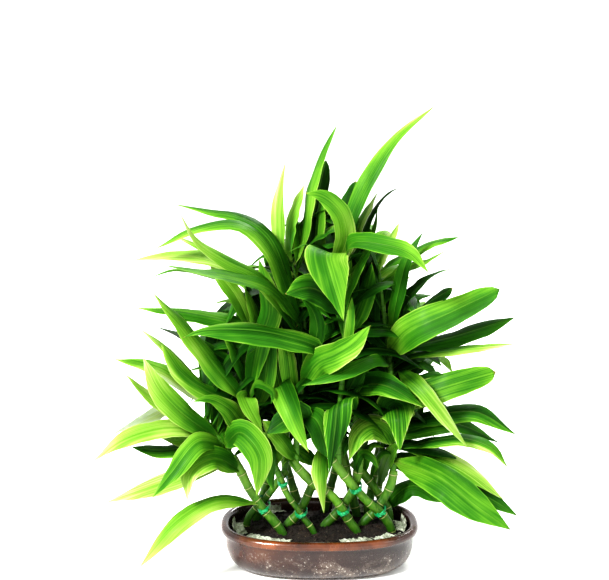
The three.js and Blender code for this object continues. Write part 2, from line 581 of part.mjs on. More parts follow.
function scrapSolid({ from, to, climb, lie }, seed) {
  const steps = 7;
  const stations = [];
  for (let i = 0; i <= steps; i += 1) {
    const turn = THREE.MathUtils.degToRad(from + ((to - from) * i) / steps);
    const crumple = drawn(seed + i * 0.17) - 0.5;
    const inner = LINER_BEND - lie - 3 * crumple;
    const right = ovalPoint(LINER_BEND + 1.9, turn, soilHeight(LINER_BEND) + 2 + climb + 2.4 * crumple);
    const rib = ovalPoint(LINER_BEND, turn, soilHeight(LINER_BEND) + LINER_SEAT);
    const left = ovalPoint(inner, turn, soilHeight(inner) + LINER_SEAT + Math.max(0, crumple));
    const inward = rib.clone().setZ(0).normalize().negate();
    const face = new THREE.Vector3(inward.x, inward.y, 1).normalize();
    stations.push({ left, rib, right, face });
  }
  const whole = solidOf(strip(stations, LINER_THICK, null));
  return wholeOf(stalks.reduce((sheet, stalk) => sheet.subtract(caneSolid(stalk, GAP)), whole));
}

// ---- Ties: plastic-coated wire round the two canes at a crossing ----
const TIE_WIRE = 1.5;
const TIE_SQUARE = 0.66; // exponent of the loop's outline: 1 is an ellipse
const TIES = [
  { name: 'tie_1', front: 'stalk_left_low', back: 'stalk_left_back', slack: 1 },
  { name: 'tie_2', front: 'stalk_middle_left', back: 'stalk_middle_right', slack: 0.5 },
  { name: 'tie_3', front: 'stalk_middle', back: 'stalk_right_top', slack: 1.5 },
  { name: 'tie_4', front: 'stalk_left_mid', back: 'stalk_middle_low', slack: 0.5 },
  { name: 'tie_5', front: 'stalk_middle', back: 'stalk_middle_right', slack: 0.4 },
  { name: 'tie_6', front: 'stalk_left_mid', back: 'stalk_left_back', slack: 0.6 },
];

// Where a cane passes a height: its middle, and half its width there as cut level
function levelCut(stalk, height) {
  const line = stalk.lines.cane;
  let [low, high] = [0, 1];
  for (let i = 0; i < 24; i += 1) {
    const half = (low + high) / 2;
    if (line.getPointAt(half).z < height) low = half;
    else high = half;
  }
  const along = line.getTangentAt(low);
  const radius = ((stalk.caneThick ?? CANE_THICK) / 2) * CANE_RINGS[2];
  return { at: line.getPointAt(low), radius, reach: (radius + (TIE_WIRE / 2) * Math.abs(along.x)) / along.z };
}

// The level cuts of two canes at the height where they cross, as seen from the front
function crossing(front, back) {
  const heights = Array.from({ length: 100 }, (_, i) => SOIL_LEVEL + 6 + 0.6 * i);
  const cuts = heights.map((height) => [levelCut(front, height), levelCut(back, height)]);
  const miss = ([a, b]) => Math.abs(a.at.x - b.at.x);
  return cuts.reduce((best, pair) => (miss(pair) < miss(best) ? pair : best));
}

function tieSolid(front, back, slack) {
  const [a, b] = crossing(front, back);
  const [nearest, furthest] = [a.at.y - a.radius, b.at.y + b.radius];
  const halfWide = Math.max(a.reach, b.reach) + slack + TIE_WIRE / 2;
  const halfDeep = (furthest - nearest) / 2 + slack + TIE_WIRE / 2;
  const middle = a.at.clone().add(b.at).multiplyScalar(0.5).setY((nearest + furthest) / 2);
  const ring = new THREE.TorusGeometry(1, 0.1, 4, 12);
  const places = ring.attributes.position;
  for (let i = 0; i < places.count; i += 1) {
    const turn = Math.atan2(places.getY(i), places.getX(i));
    const out = (Math.hypot(places.getX(i), places.getY(i)) - 1) / 0.1;
    const wire = TIE_WIRE / 2;
    const c = Math.cos(turn);
    const s = Math.sin(turn);
    const x = Math.sign(c) * Math.abs(c) ** TIE_SQUARE * (halfWide + out * wire);
    const y = Math.sign(s) * Math.abs(s) ** TIE_SQUARE * (halfDeep + out * wire);
    places.setXYZ(i, middle.x + x, middle.y + y, middle.z + (places.getZ(i) / 0.1) * wire);
  }
  return solidOf(ring);
}

// ---- The plant put together ----
const group = new THREE.Group();
const GLAZE = new THREE.MeshStandardMaterial({ color: 0x7a4332, roughness: 0.35 });
const EARTH = new THREE.MeshStandardMaterial({ color: 0x2b211a, roughness: 0.95 });
const LINER = new THREE.MeshStandardMaterial({ color: 0xc9cdbc, roughness: 0.9 });
const FOLIAGE = new THREE.MeshStandardMaterial({ color: 0x4fa01c, roughness: 0.45 });
const WIRE = new THREE.MeshStandardMaterial({ color: 0x14a862, roughness: 0.35 });

function add(name, solid, material) {
  const mesh = new THREE.Mesh(geometryOf(solid), material);
  mesh.name = name;
  group.add(mesh);
}

const stalks = [...STALKS, ...BACK_STALKS];
for (const stalk of stalks) {
  stalk.lines = linesOf(stalk);
  stalk.parts = [caneSolid(stalk, 0), shootSolid(stalk, 0)];
  for (const part of stalk.parts) place(stalk.name, part);
}

const soil = stalks.reduce((earth, stalk) => earth.subtract(caneSolid(stalk, GAP)), soilFill);
place('dish', dish);
place('soil', soil);
add('pot', dish, GLAZE);
add('soil', wholeOf(soil), EARTH);

SCRAPS.forEach((scrap, i) => {
  const solid = scrapSolid(scrap, i + 1);
  place(`liner_scrap_${i + 1}`, solid);
  add(`liner_scrap_${i + 1}`, solid, LINER);
});

for (const tie of TIES) {
  const [front, back] = [tie.front, tie.back].map((name) => stalks.find((stalk) => stalk.name === name));
  const solid = tieSolid(front, back, tie.slack);
  place(tie.name, solid);
  add(tie.name, solid, WIRE);
}

for (const stalk of stalks) {
  const plans = stalk.leaves ?? Array.from({ length: stalk.count }, (_, index) => {
    const seed = stalk.foot[0] + index * 1.7;
    return { index, seed, wide: 18 + 8 * drawn(seed + 0.1) };
  });
  for (const plan of plans) {
    const blade = clearLeaf(stalk, plan);
    if (blade === null) continue;
    stalk.parts.push(blade);
    place(stalk.name, blade);
  }
  add(stalk.name, wholeOf(wasm.Manifold.union(stalk.parts).simplify(SLIVER)), FOLIAGE);
}

export default group;
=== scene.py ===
"""Lucky bamboo (Dracaena sanderiana): criss-crossed canes with leafy shoots in an oval glazed dish.

Metres, +Z up. The origin is the centre of the dish's flat underside, and -Y faces the viewer.
"""
import math
import bpy
import numpy as np
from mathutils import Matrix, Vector, noise
from mathutils.bvhtree import BVHTree


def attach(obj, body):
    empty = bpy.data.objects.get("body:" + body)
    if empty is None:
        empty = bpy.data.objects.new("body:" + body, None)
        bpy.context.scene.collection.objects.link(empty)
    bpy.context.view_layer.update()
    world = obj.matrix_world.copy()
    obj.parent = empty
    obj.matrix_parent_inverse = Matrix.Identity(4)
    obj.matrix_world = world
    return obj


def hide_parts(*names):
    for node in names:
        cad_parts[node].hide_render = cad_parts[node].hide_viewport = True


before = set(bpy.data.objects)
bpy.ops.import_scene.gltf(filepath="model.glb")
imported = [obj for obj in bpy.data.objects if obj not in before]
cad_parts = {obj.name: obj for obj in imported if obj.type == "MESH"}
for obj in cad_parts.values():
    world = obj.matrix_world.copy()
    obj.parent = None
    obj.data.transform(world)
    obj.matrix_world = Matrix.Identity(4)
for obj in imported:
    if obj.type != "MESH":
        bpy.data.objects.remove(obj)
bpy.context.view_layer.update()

# ---- Camera ----
# Where the photograph was taken from, a little above the plant and looking down on it.
PHOTO_WIDTH = 609
PHOTO_MIDDLE = np.array([304.5, 290.0])
PHOTO_FOCAL = 1154.0  # in pixels
PHOTO_EYE = np.array([-0.015, -1.1, 0.5])
PHOTO_DOWN = math.radians(11.25)
LOOK = np.array([0, math.cos(PHOTO_DOWN), -math.sin(PHOTO_DOWN)])
LIFT = np.array([0, math.sin(PHOTO_DOWN), math.cos(PHOTO_DOWN)])

scene = bpy.context.scene
lens = bpy.data.cameras.new("photo_camera")
lens.sensor_width = 36
lens.lens = PHOTO_FOCAL / PHOTO_WIDTH * lens.sensor_width
camera = bpy.data.objects.new("photo_camera", lens)
camera.location = PHOTO_EYE
camera.rotation_euler = (math.pi / 2 - PHOTO_DOWN, 0, 0)
scene.collection.objects.link(camera)
scene.camera = camera

# ---- Floor and light ----
# A white studio: one large soft lamp from the upper left in front, a weaker one on the right and one behind.
FLOOR_HALF = 9
FLOOR_DROP = 0.0004  # so that the foot stands clear of it

scene.view_settings.view_transform = "Standard"
scene.view_settings.look = "High Contrast"
scene.world = bpy.data.worlds.new("studio_white")
scene.world.use_nodes = True
sky = scene.world.node_tree.nodes["Background"]
sky.inputs["Color"].default_value = (1, 1, 1, 1)
sky.inputs["Strength"].default_value = 1.22


def lamp(name, place, aim, size, power):
    light = bpy.data.lights.new(name, "AREA")
    light.shape = "DISK"
    light.size = size
    light.energy = power
    holder = bpy.data.objects.new(name, light)
    holder.location = place
    holder.rotation_euler = (Vector(aim) - Vector(place)).to_track_quat("-Z", "Y").to_euler()
    scene.collection.objects.link(holder)


lamp("key_lamp", (-1.1, -1.4, 1.5), (0, 0, 0.22), 0.45, 70)
lamp("right_lamp", (1.5, -0.7, 0.9), (0, 0, 0.2), 0.8, 4)
lamp("back_lamp", (0.5, 1.3, 1.4), (0, 0, 0.25), 0.7, 20)


def placed(name, mesh):
    """A new object in the scene for a mesh."""
    piece = bpy.data.objects.new(name, mesh)
    scene.collection.objects.link(piece)
    return piece


def finish_named(name):
    """A new material, its node tree and its Principled shader."""
    finish = bpy.data.materials.new(name)
    finish.use_nodes = True
    return finish, finish.node_tree, finish.node_tree.nodes["Principled BSDF"]


def fill(node, takes):
    """Fills inputs by name or number: a socket, or a node's first output, is linked and a value is set."""
    for key, value in takes.items():
        if isinstance(value, bpy.types.Node):
            value = value.outputs[0]
        if isinstance(value, bpy.types.NodeSocket):
            node.id_data.links.new(value, node.inputs[key])
        else:
            node.inputs[key].default_value = value
    return node


floor_finish, tree, shader = finish_named("pale_floor")
fill(shader, {"Base Color": (0.93, 0.93, 0.92, 1), "Roughness": 0.85})
corners = [(FLOOR_HALF * x, FLOOR_HALF * y, -FLOOR_DROP) for x, y in ((-1, -1), (1, -1), (1, 1), (-1, 1))]
floor_mesh = bpy.data.meshes.new("floor")
floor_mesh.from_pydata(corners, [], [(0, 1, 2, 3)])
floor_mesh.materials.append(floor_finish)
floor = placed("floor", floor_mesh)

# ---- Dish ----
# A thick oval stoneware dish, thrown and pressed oval, with a flat foot and a rolled rim.
# It is dipped in a brown glaze that breaks to rust on the rim; dust dulls the lower wall.
DISH_FLATTER = 0.0365  # how much less the dish reaches forwards than sideways
DISH_BASE = 0.076
DISH_POWER = 0.8  # 1 is an ellipse
DISH_HALVES = (0.0995, 0.063)  # half its length and half its width at the rim
DISH_PROFILE = [
    (0, 0), (0.04, 0), (0.076, 0), (0.081, 0.0014), (0.087, 0.0055), (0.0915, 0.012), (0.094, 0.02),
    (0.0956, 0.0365), (0.0986, 0.0376), (0.0995, 0.0413), (0.0978, 0.0442), (0.0946, 0.045), (0.0916, 0.0432),
    (0.09, 0.037), (0.088, 0.02), (0.083, 0.0095), (0.074, 0.006), (0.04, 0.0055), (0, 0.0055),
]


def curve_through(points):
    """A centripetal curve through the points: 201 places on it, and the share of its length at each."""
    points = np.array(points, float)
    ends = np.vstack([2 * points[0] - points[1], points, 2 * points[-1] - points[-2]])
    t = np.linspace(0, len(points) - 1, 201)
    i = np.minimum(t.astype(int), len(points) - 2)
    w = (t - i)[:, None]
    before, start, stop, after = (ends[i + k] for k in range(4))
    legs = ((before, start), (start, stop), (stop, after))
    g, h, k = (np.linalg.norm(b - a, axis=1)[:, None] ** 0.5 for a, b in legs)
    leave = ((start - before) / g - (stop - before) / (g + h) + (stop - start) / h) * h
    reach = ((stop - start) / h - (after - start) / (h + k) + (after - stop) / k) * h
    bend = (3 * (stop - start) - 2 * leave - reach) * w ** 2
    places = start + leave * w + bend + (2 * (start - stop) + leave + reach) * w ** 3
    run = run_along(places)
    return places, run / run[-1]


def run_along(line):
    """How far along a line each of its places is."""
    return np.concatenate([[0], np.cumsum(np.linalg.norm(np.diff(line, axis=0), axis=1))])


def at_shares(curve, shares):
    """The places at these shares of a curve's length."""
    places, run = curve
    return np.stack([np.interp(shares, run, places[:, k]) for k in range(3)], axis=1)


def oval(reach, turn):
    """The place on the dish's oval that reaches this far along its length."""
    flat = reach * (DISH_BASE - DISH_FLATTER) / DISH_BASE
    across = np.where(reach > DISH_BASE, reach - DISH_FLATTER, flat)
    c, s = np.cos(turn), np.sin(turn)
    return reach * np.sign(c) * np.abs(c) ** DISH_POWER, across * np.sign(s) * np.abs(s) ** DISH_POWER


def oval_lathe(name, profile, sides, lift=lambda x, y, z: z):
    """A closed oval body from a profile of (reach, height) that starts and ends on the axis."""
    turns = np.linspace(0, 2 * math.pi, sides, endpoint=False)
    points = [(0, 0, profile[0][1])]
    for reach, height in profile[1:-1]:
        x, y = oval(np.full(sides, reach), turns)
        points += [(px, py, lift(px, py, height)) for px, py in zip(x, y)]
    points.append((0, 0, lift(0, 0, profile[-1][1])))
    last = 1 + (len(profile) - 3) * sides  # the first point of the last ring
    steps = [(j, (j + 1) % sides) for j in range(sides)]
    faces = [(0, 1 + k, 1 + j) for j, k in steps]
    for a in range(1, last, sides):
        faces += [(a + j, a + k, a + sides + k, a + sides + j) for j, k in steps]
    faces += [(last + j, last + k, len(points) - 1) for j, k in steps]
    mesh = bpy.data.meshes.new(name)
    mesh.from_pydata(points, [], faces)
    mesh.shade_smooth()
    return placed(name, mesh)


places, _ = curve_through([(reach, 0, height) for reach, height in DISH_PROFILE])
profile = [(max(reach, 0), max(height, 0)) for reach, _, height in places[::2]]
dish = oval_lathe("dish", profile, 144)


# Node building blocks: they add to the tree in hand, and most give the socket of their result
def add(kind, takes=None, **settings):
    """A new node: settings are its own properties, and takes fills its inputs."""
    node = tree.nodes.new(kind)
    for key, value in settings.items():
        setattr(node, key, value)
    return fill(node, takes or {})


def noise_at(vector, scale, detail=4.0, rough=0.5, warp=0.0):
    takes = {"Vector": vector, "Scale": scale, "Detail": detail, "Roughness": rough, "Distortion": warp}
    return add("ShaderNodeTexNoise", takes).outputs["Fac"]


def ease(value, low, high, to_low=0.0, to_high=1.0):
    """Smoothly from to_low to to_high as the value goes from low to high."""
    takes = {"Value": value, "From Min": low, "From Max": high, "To Min": to_low, "To Max": to_high}
    return add("ShaderNodeMapRange", takes, interpolation_type="SMOOTHSTEP").outputs["Result"]


def sums(operation, *terms):
    """A Math node on sockets or plain numbers."""
    return add("ShaderNodeMath", dict(enumerate(terms)), operation=operation).outputs[0]


def plus(one, other):
    return sums("ADD", one, other)


def minus(one, other):
    return sums("SUBTRACT", one, other)


def times(one, other):
    return sums("MULTIPLY", one, other)


def tint(share, one, other):
    """A colour from one to the other by a share; each is a socket or three numbers."""
    one, other = ((*colour, 1) if isinstance(colour, tuple) else colour for colour in (one, other))
    return add("ShaderNodeMix", {0: share, 6: one, 7: other}, data_type="RGBA").outputs[2]


def ramp(value, *stops):
    """A colour ramp through (place, colour) stops."""
    node = add("ShaderNodeValToRGB", {0: value})
    band = node.color_ramp
    while len(band.elements) < len(stops):
        band.elements.new(0.5)
    for element, (place, _) in zip(band.elements, stops):
        element.position = place
    for element, (_, colour) in zip(band.elements, stops):
        element.color = (*colour, 1)
    return node.outputs[0]


def relief(height, depth, strength):
    """Bump of this depth in metres on the shader in hand."""
    bump = add("ShaderNodeBump", {"Height": height, "Strength": strength, "Distance": depth})
    fill(shader, {"Normal": bump})


def object_place():
    return add("ShaderNodeTexCoord").outputs["Object"]


def parts(vector):
    """A vector's x, y and z."""
    return add("ShaderNodeSeparateXYZ", {0: vector}).outputs


glaze, tree, shader = finish_named("brown_glaze")
place = object_place()
x, y, z = parts(place)
clouds = noise_at(place, 26, 6, 0.6, 0.4)
grit = noise_at(place, 260, 3, 0.6)
body = ramp(
    clouds, (0.3, (0.016, 0.007, 0.007)), (0.46, (0.046, 0.014, 0.01)), (0.6, (0.11, 0.031, 0.012)),
    (0.78, (0.19, 0.07, 0.024)),
)
# painted shade: the right side of the glaze, away from the key lamp, is darker and greyer
painted_right_shade = ease(plus(x, times(clouds, 0.07)), 0.012, 0.082)
body = tint(times(painted_right_shade, 0.9), body, (0.022, 0.019, 0.02))
rust = ramp(clouds, (0.36, (0.022, 0.008, 0.005)), (0.52, (0.1, 0.028, 0.008)), (0.68, (0.22, 0.066, 0.017)))
both_ends = ease(sums("ABSOLUTE", x), 0.04, 0.085, 0, 0.8)
rust = tint(both_ends, rust, (0.04, 0.02, 0.016))
rim = ease(plus(z, times(grit, 0.003)), 0.0372, 0.0405)
body = tint(times(rim, 0.85), body, rust)
# painted shade: the inside of the dish, within the rim, is darker
reaches = (
    sums("POWER", times(sums("ABSOLUTE", axis), 1 / half), 2 / DISH_POWER)
    for axis, half in zip((x, y), DISH_HALVES)
)
painted_inner_shade = ease(plus(*reaches), 0.9, 0.8, 0, 0.75)
body = tint(painted_inner_shade, body, (0.022, 0.012, 0.01))
smears = noise_at(place, 45, 8, 0.75, 0.6)
dust = times(ease(z, 0.037, 0.003), ease(smears, 0.44, 0.66))
body = tint(times(dust, 0.6), body, (0.24, 0.19, 0.15))
low_wall = ease(z, 0.037, 0.014)
clustered = plus(noise_at(place, 520, 3, 0.7), ease(smears, 0.35, 0.7, -0.09, 0.07))
specks = ease(clustered, 0.61, 0.66)
body = tint(times(specks, times(low_wall, 0.85)), body, (0.66, 0.62, 0.56))
foot = ease(z, 0.0016, 0.0005)
body = tint(foot, body, (0.2, 0.12, 0.07))
gloss = plus(ease(grit, 0.3, 0.75, 0.16, 0.3), times(dust, 0.45))
fill(shader, {
    "Base Color": body, "Roughness": sums("MAXIMUM", gloss, times(foot, 0.85)), "Coat Weight": 0.25,
    "Coat Roughness": 0.12,
})
relief(plus(clouds, times(grit, 0.35)), 0.0009, 0.6)
dish.data.materials.append(glaze)
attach(dish, "root")
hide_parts("pot")

# ---- Soil ----
# Dark, damp potting soil fills the dish and is heaped a little towards the middle.
# Its top is lumpy, and loose crumbs, grit and bits of bark lie on it.
SOIL_WALL = [(0, 0.006), (0.0736, 0.0065), (0.0824, 0.01), (0.0875, 0.0203)]
SOIL_TOP = [(0.0882, 0.0342), (0.076, 0.0368), (0.048, 0.0392), (0, 0.0406)]
SOIL_LUMPS = 0.0016
LUMPY_ABOVE = 0.03


def soil_height(reach):
    return np.interp(reach, *zip(*SOIL_TOP[::-1]))


def soil_lumps(x, y, z):
    if z < LUMPY_ABOVE:
        return z
    coarse = noise.noise(Vector((x * 90, y * 90, 4.2)))
    fine = noise.noise(Vector((x * 310, y * 310, 1.7)))
    return z + SOIL_LUMPS * (0.8 * coarse + 0.6 * fine - 0.3)


top_profile = [(reach, float(soil_height(reach))) for reach in np.linspace(SOIL_TOP[0][0], 0, 56)]
soil = oval_lathe("soil_bed", SOIL_WALL + top_profile, 150, soil_lumps)

earth, tree, shader = finish_named("damp_soil")
place = object_place()
patches = noise_at(place, 95, 6, 0.65)
flecks = noise_at(place, 700, 2, 0.5)
colour = ramp(
    patches, (0.3, (0.004, 0.0026, 0.0016)), (0.55, (0.016, 0.01, 0.006)), (0.8, (0.06, 0.038, 0.022)),
)
colour = tint(ease(flecks, 0.64, 0.74), colour, (0.16, 0.12, 0.08))
fill(shader, {"Base Color": colour, "Roughness": ease(patches, 0.3, 0.7, 0.72, 0.95)})
relief(plus(patches, flecks), 0.0016, 0.9)


# Geometry Nodes building blocks
def node_tree(name, **sizes):
    """A tree that takes and gives geometry, with a named number input for each size."""
    tree = bpy.data.node_groups.new(name, "GeometryNodeTree")
    for way in ("INPUT", "OUTPUT"):
        tree.interface.new_socket("Geometry", in_out=way, socket_type="NodeSocketGeometry")
    for size, value in sizes.items():
        kind = "NodeSocketInt" if isinstance(value, int) else "NodeSocketFloat"
        tree.interface.new_socket(size, in_out="INPUT", socket_type=kind).default_value = value
    return tree, tree.nodes.new("NodeGroupInput").outputs


def end_tree(geometry, finish):
    """Closes the tree in hand with Realize Instances and Set Material."""
    real = add("GeometryNodeRealizeInstances", {"Geometry": geometry})
    dressed = add("GeometryNodeSetMaterial", {"Geometry": real, "Material": finish})
    add("NodeGroupOutput", {0: dressed})


def grown(name, source, recipe, **sizes):
    """Runs a tree on an object and keeps the result as a plain mesh; the source goes."""
    modifier = source.modifiers.new(recipe.name, "NODES")
    modifier.node_group = recipe
    for item in recipe.interface.items_tree:
        if item.name in sizes:
            modifier[item.identifier] = sizes[item.name]
    graph = bpy.context.evaluated_depsgraph_get()
    mesh = bpy.data.meshes.new_from_object(source.evaluated_get(graph), depsgraph=graph)
    bpy.data.objects.remove(source)
    mesh.name = name
    return placed(name, mesh)


def vectors(operation, one, other):
    takes = {0: one, "Scale" if operation == "SCALE" else 1: other}
    return add("ShaderNodeVectorMath", takes, operation=operation).outputs[0]


tree, given = node_tree("soil_crumbs", crumb_size=0.0016, crumbs_per_square_metre=90000.0, seed=5)
up = parts(add("GeometryNodeInputNormal"))[2]
height = parts(add("GeometryNodeInputPosition"))[2]
on_top = times(sums("GREATER_THAN", up, 0.6), sums("GREATER_THAN", height, 0.0325))
spots = add("GeometryNodeDistributePointsOnFaces", {
    "Mesh": given["Geometry"], "Selection": on_top, "Density": given["crumbs_per_square_metre"],
    "Seed": given["seed"],
})
crumb = add("GeometryNodeMeshIcoSphere", {"Radius": given["crumb_size"], "Subdivisions": 2})
jag = add("ShaderNodeTexNoise", {"Scale": 900.0, "Detail": 1.0}).outputs["Color"]
push = vectors("SCALE", vectors("SUBTRACT", jag, (0.5, 0.5, 0.5)), 0.0036)
crumb = add("GeometryNodeSetPosition", {"Geometry": crumb, "Offset": push})
turns, scales = (
    add("FunctionNodeRandomValue", {"Min": least, "Max": most, "Seed": seed}, data_type="FLOAT_VECTOR")
    for least, most, seed in (((0, 0, 0), (6.28, 6.28, 6.28), 1), ((0.2, 0.2, 0.15), (1.1, 1.0, 0.75), 2))
)
scattered = add("GeometryNodeInstanceOnPoints", {
    "Points": spots, "Instance": crumb, "Rotation": turns, "Scale": scales,
})
both = add("GeometryNodeJoinGeometry", {0: given["Geometry"]})
fill(both, {0: scattered})
end_tree(both, earth)
soil = grown("soil", soil, tree)
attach(soil, "root")
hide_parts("soil")

# ---- Liner ----
# Scraps of pale paper liner, torn and crumpled, show between the soil's edge and the dish.
# Each lies on the soil and curls up the wall.
LINER_BEND = 0.0862
LINER_SEAT = 0.0009
LINER_LAID = 0.6  # the share of a scrap's width that lies on the soil
LINER_SPREAD = 0.0019  # how far it leans outwards with the wall
LINER_FOLD = 0.0022
LINER_CREASE = 0.0006
LINER_THICK = 0.0004
LONG_STEPS, WIDE_STEPS = 44, 16
SCRAPS = [  # from and to in degrees, climb up the wall and reach inwards in metres
    (170, 202, 0.006, 0.01), (208, 253, 0.003, 0.014), (281, 306, 0.004, 0.016), (308, 334, 0.005, 0.012),
    (350, 376, 0.006, 0.009), (58, 84, 0.006, 0.01), (112, 140, 0.005, 0.012),
]

paper, tree, shader = finish_named("liner_paper")
place = object_place()
stain = noise_at(place, 120, 5, 0.6)
fibres = noise_at(place, 900, 3, 0.6)
crumple = sums("ABSOLUTE", minus(noise_at(place, 190, 2, 0.5, 0.8), 0.5))
colour = ramp(stain, (0.35, (0.16, 0.17, 0.12)), (0.5, (0.45, 0.48, 0.38)), (0.7, (0.68, 0.7, 0.6)))
# painted shade: the paper is darker along its crease lines
colour = tint(ease(crumple, 0.05, 0.0, 0, 0.6), colour, (0.14, 0.15, 0.1))
colour = tint(ease(fibres, 0.56, 0.7), colour, (0.22, 0.22, 0.17))
fill(shader, {"Base Color": colour, "Roughness": ease(fibres, 0.3, 0.7, 0.75, 0.95)})
relief(plus(times(crumple, 6.0), fibres), 0.0012, 0.9)

for number, (start, stop, climb, lie) in enumerate(SCRAPS, 1):
    points = []
    for i in range(LONG_STEPS + 1):
        turn = math.radians(start + (stop - start) * i / LONG_STEPS)
        tear = noise.noise(Vector((i * 0.35, number * 3.1, 0)))
        inner = LINER_BEND - lie - 0.003 * tear
        for j in range(WIDE_STEPS + 1):
            share = j / WIDE_STEPS
            rise = (share - LINER_LAID) / (1 - LINER_LAID)
            if rise < 0:
                reach = inner + (LINER_BEND - inner) * share / LINER_LAID
                height = float(soil_height(reach)) + LINER_SEAT
            else:
                reach = LINER_BEND + LINER_SPREAD * rise
                height = float(soil_height(LINER_BEND)) + LINER_SEAT + (0.001 + climb + 0.0028 * tear) * rise
            x, y = oval(np.float64(reach), turn)
            crease = noise.noise(Vector((i * 0.42, share * 3.6, number * 7.7)))
            fold = abs(noise.noise(Vector((i * 0.17, share * 2.2, number * 5.1))))
            inward = 1 - (LINER_FOLD / 2 * fold + LINER_CREASE * crease) / 0.08 * (share > 0.55)
            height += LINER_FOLD * fold * (share < 0.62) + LINER_CREASE * crease
            points.append((x * inward, y * inward, height))
    row = WIDE_STEPS + 1
    corners = [i * row + j for i in range(LONG_STEPS) for j in range(WIDE_STEPS)]
    mesh = bpy.data.meshes.new("liner_scrap")
    mesh.from_pydata(points, [], [(a, a + 1, a + row + 1, a + row) for a in corners])
    mesh.shade_smooth()
    mesh.materials.append(paper)
    scrap = placed(f"liner_paper_{number}", mesh)
    sheet = scrap.modifiers.new("paper_thickness", "SOLIDIFY")
    sheet.thickness = LINER_THICK
    sheet.offset = 0
    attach(scrap, "root")
    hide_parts(f"liner_scrap_{number}")

# ---- Canes and shoots ----
# Green jointed canes, wired across each other, each with the thinner leafy shoot that grew from its top.
# Ways are (x, y, near): pixels of the photograph and millimetres nearer than the dish's middle.
CANE_THICK = 9.4  # millimetres, as the other widths in this table
CANE_RINGS = [0.92, 0.96, 1.08, 0.95, 0.96, 1.08, 0.93]
CANE_TRIM = 0.97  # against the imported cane: a little slimmer, since its joints swell
CANE_STATIONS = 130
SHOOT_RINGS = [1, 0.95, 0.82, 0.62, 0.42]
SHOOT_THICK = 6.6
SHOOT_JOINTS = 0.0065
SHOOT_STATIONS = 150
SHOOT_END = 6  # stations over which a shoot's end closes
SOIL_LEVEL = 0.038
BURIED_TO = 0.018
CANE_RISE = 0.078
SHADE, DEEP, MID, BRIGHT, LIME, PALE = 0.2, 0.33, 0.45, 0.56, 0.7, 0.95  # how light and yellow a leaf is; SHADE is a dark green with painted shade in it, for leaves that lie in shadow
# A blade's half width at shares of its length, against the most it has
POINTED = [(0, 0.16), (0.05, 0.24), (0.12, 0.48), (0.22, 0.78), (0.34, 0.95), (0.48, 1.0), (0.62, 0.96),
           (0.76, 0.74), (0.87, 0.43), (0.95, 0.16), (1, 0)]
BLUNT = [*POINTED[:6], (0.7, 0.94), (0.84, 0.78), (0.92, 0.58), (0.97, 0.36), (1, 0)]
TAILED = [*POINTED[:5], (0.45, 0.98), (0.57, 0.84), (0.7, 0.56), (0.82, 0.3), (0.92, 0.14), (1, 0)]


def leaf(wide, turn, tone, *way, lime=None, end=POINTED, arching=False):
    """A leaf: its width, how far it is rolled from facing the viewer, its green or its greens at root and
    tip, its way from the shoot, how much its margins are lime, and the outline it ends in.
    For one that arches over towards the viewer, `turn` is how far its crest slopes down to the right."""
    return {"wide": wide / 1000, "turn": math.radians(turn), "tone": tone, "way": way, "lime": lime,
            "end": end, "arching": arching, "seed": sum(map(sum, way)) * 0.37}


def traced_stalk(name, cane, shoot, *leaves, thick=CANE_THICK):
    return {"name": name, "cane": cane, "shoot": shoot, "leaves": leaves, "thick": thick}


def back_stalk(name, foot, lean, rise, count, facing, spread):
    """A stalk at the back: its cane stands on a foot and leans, and its leaves spread about `facing`."""
    return {"name": name, "foot": foot, "lean": lean, "rise": rise, "count": count, "facing": facing,
            "spread": spread, "thick": CANE_THICK}


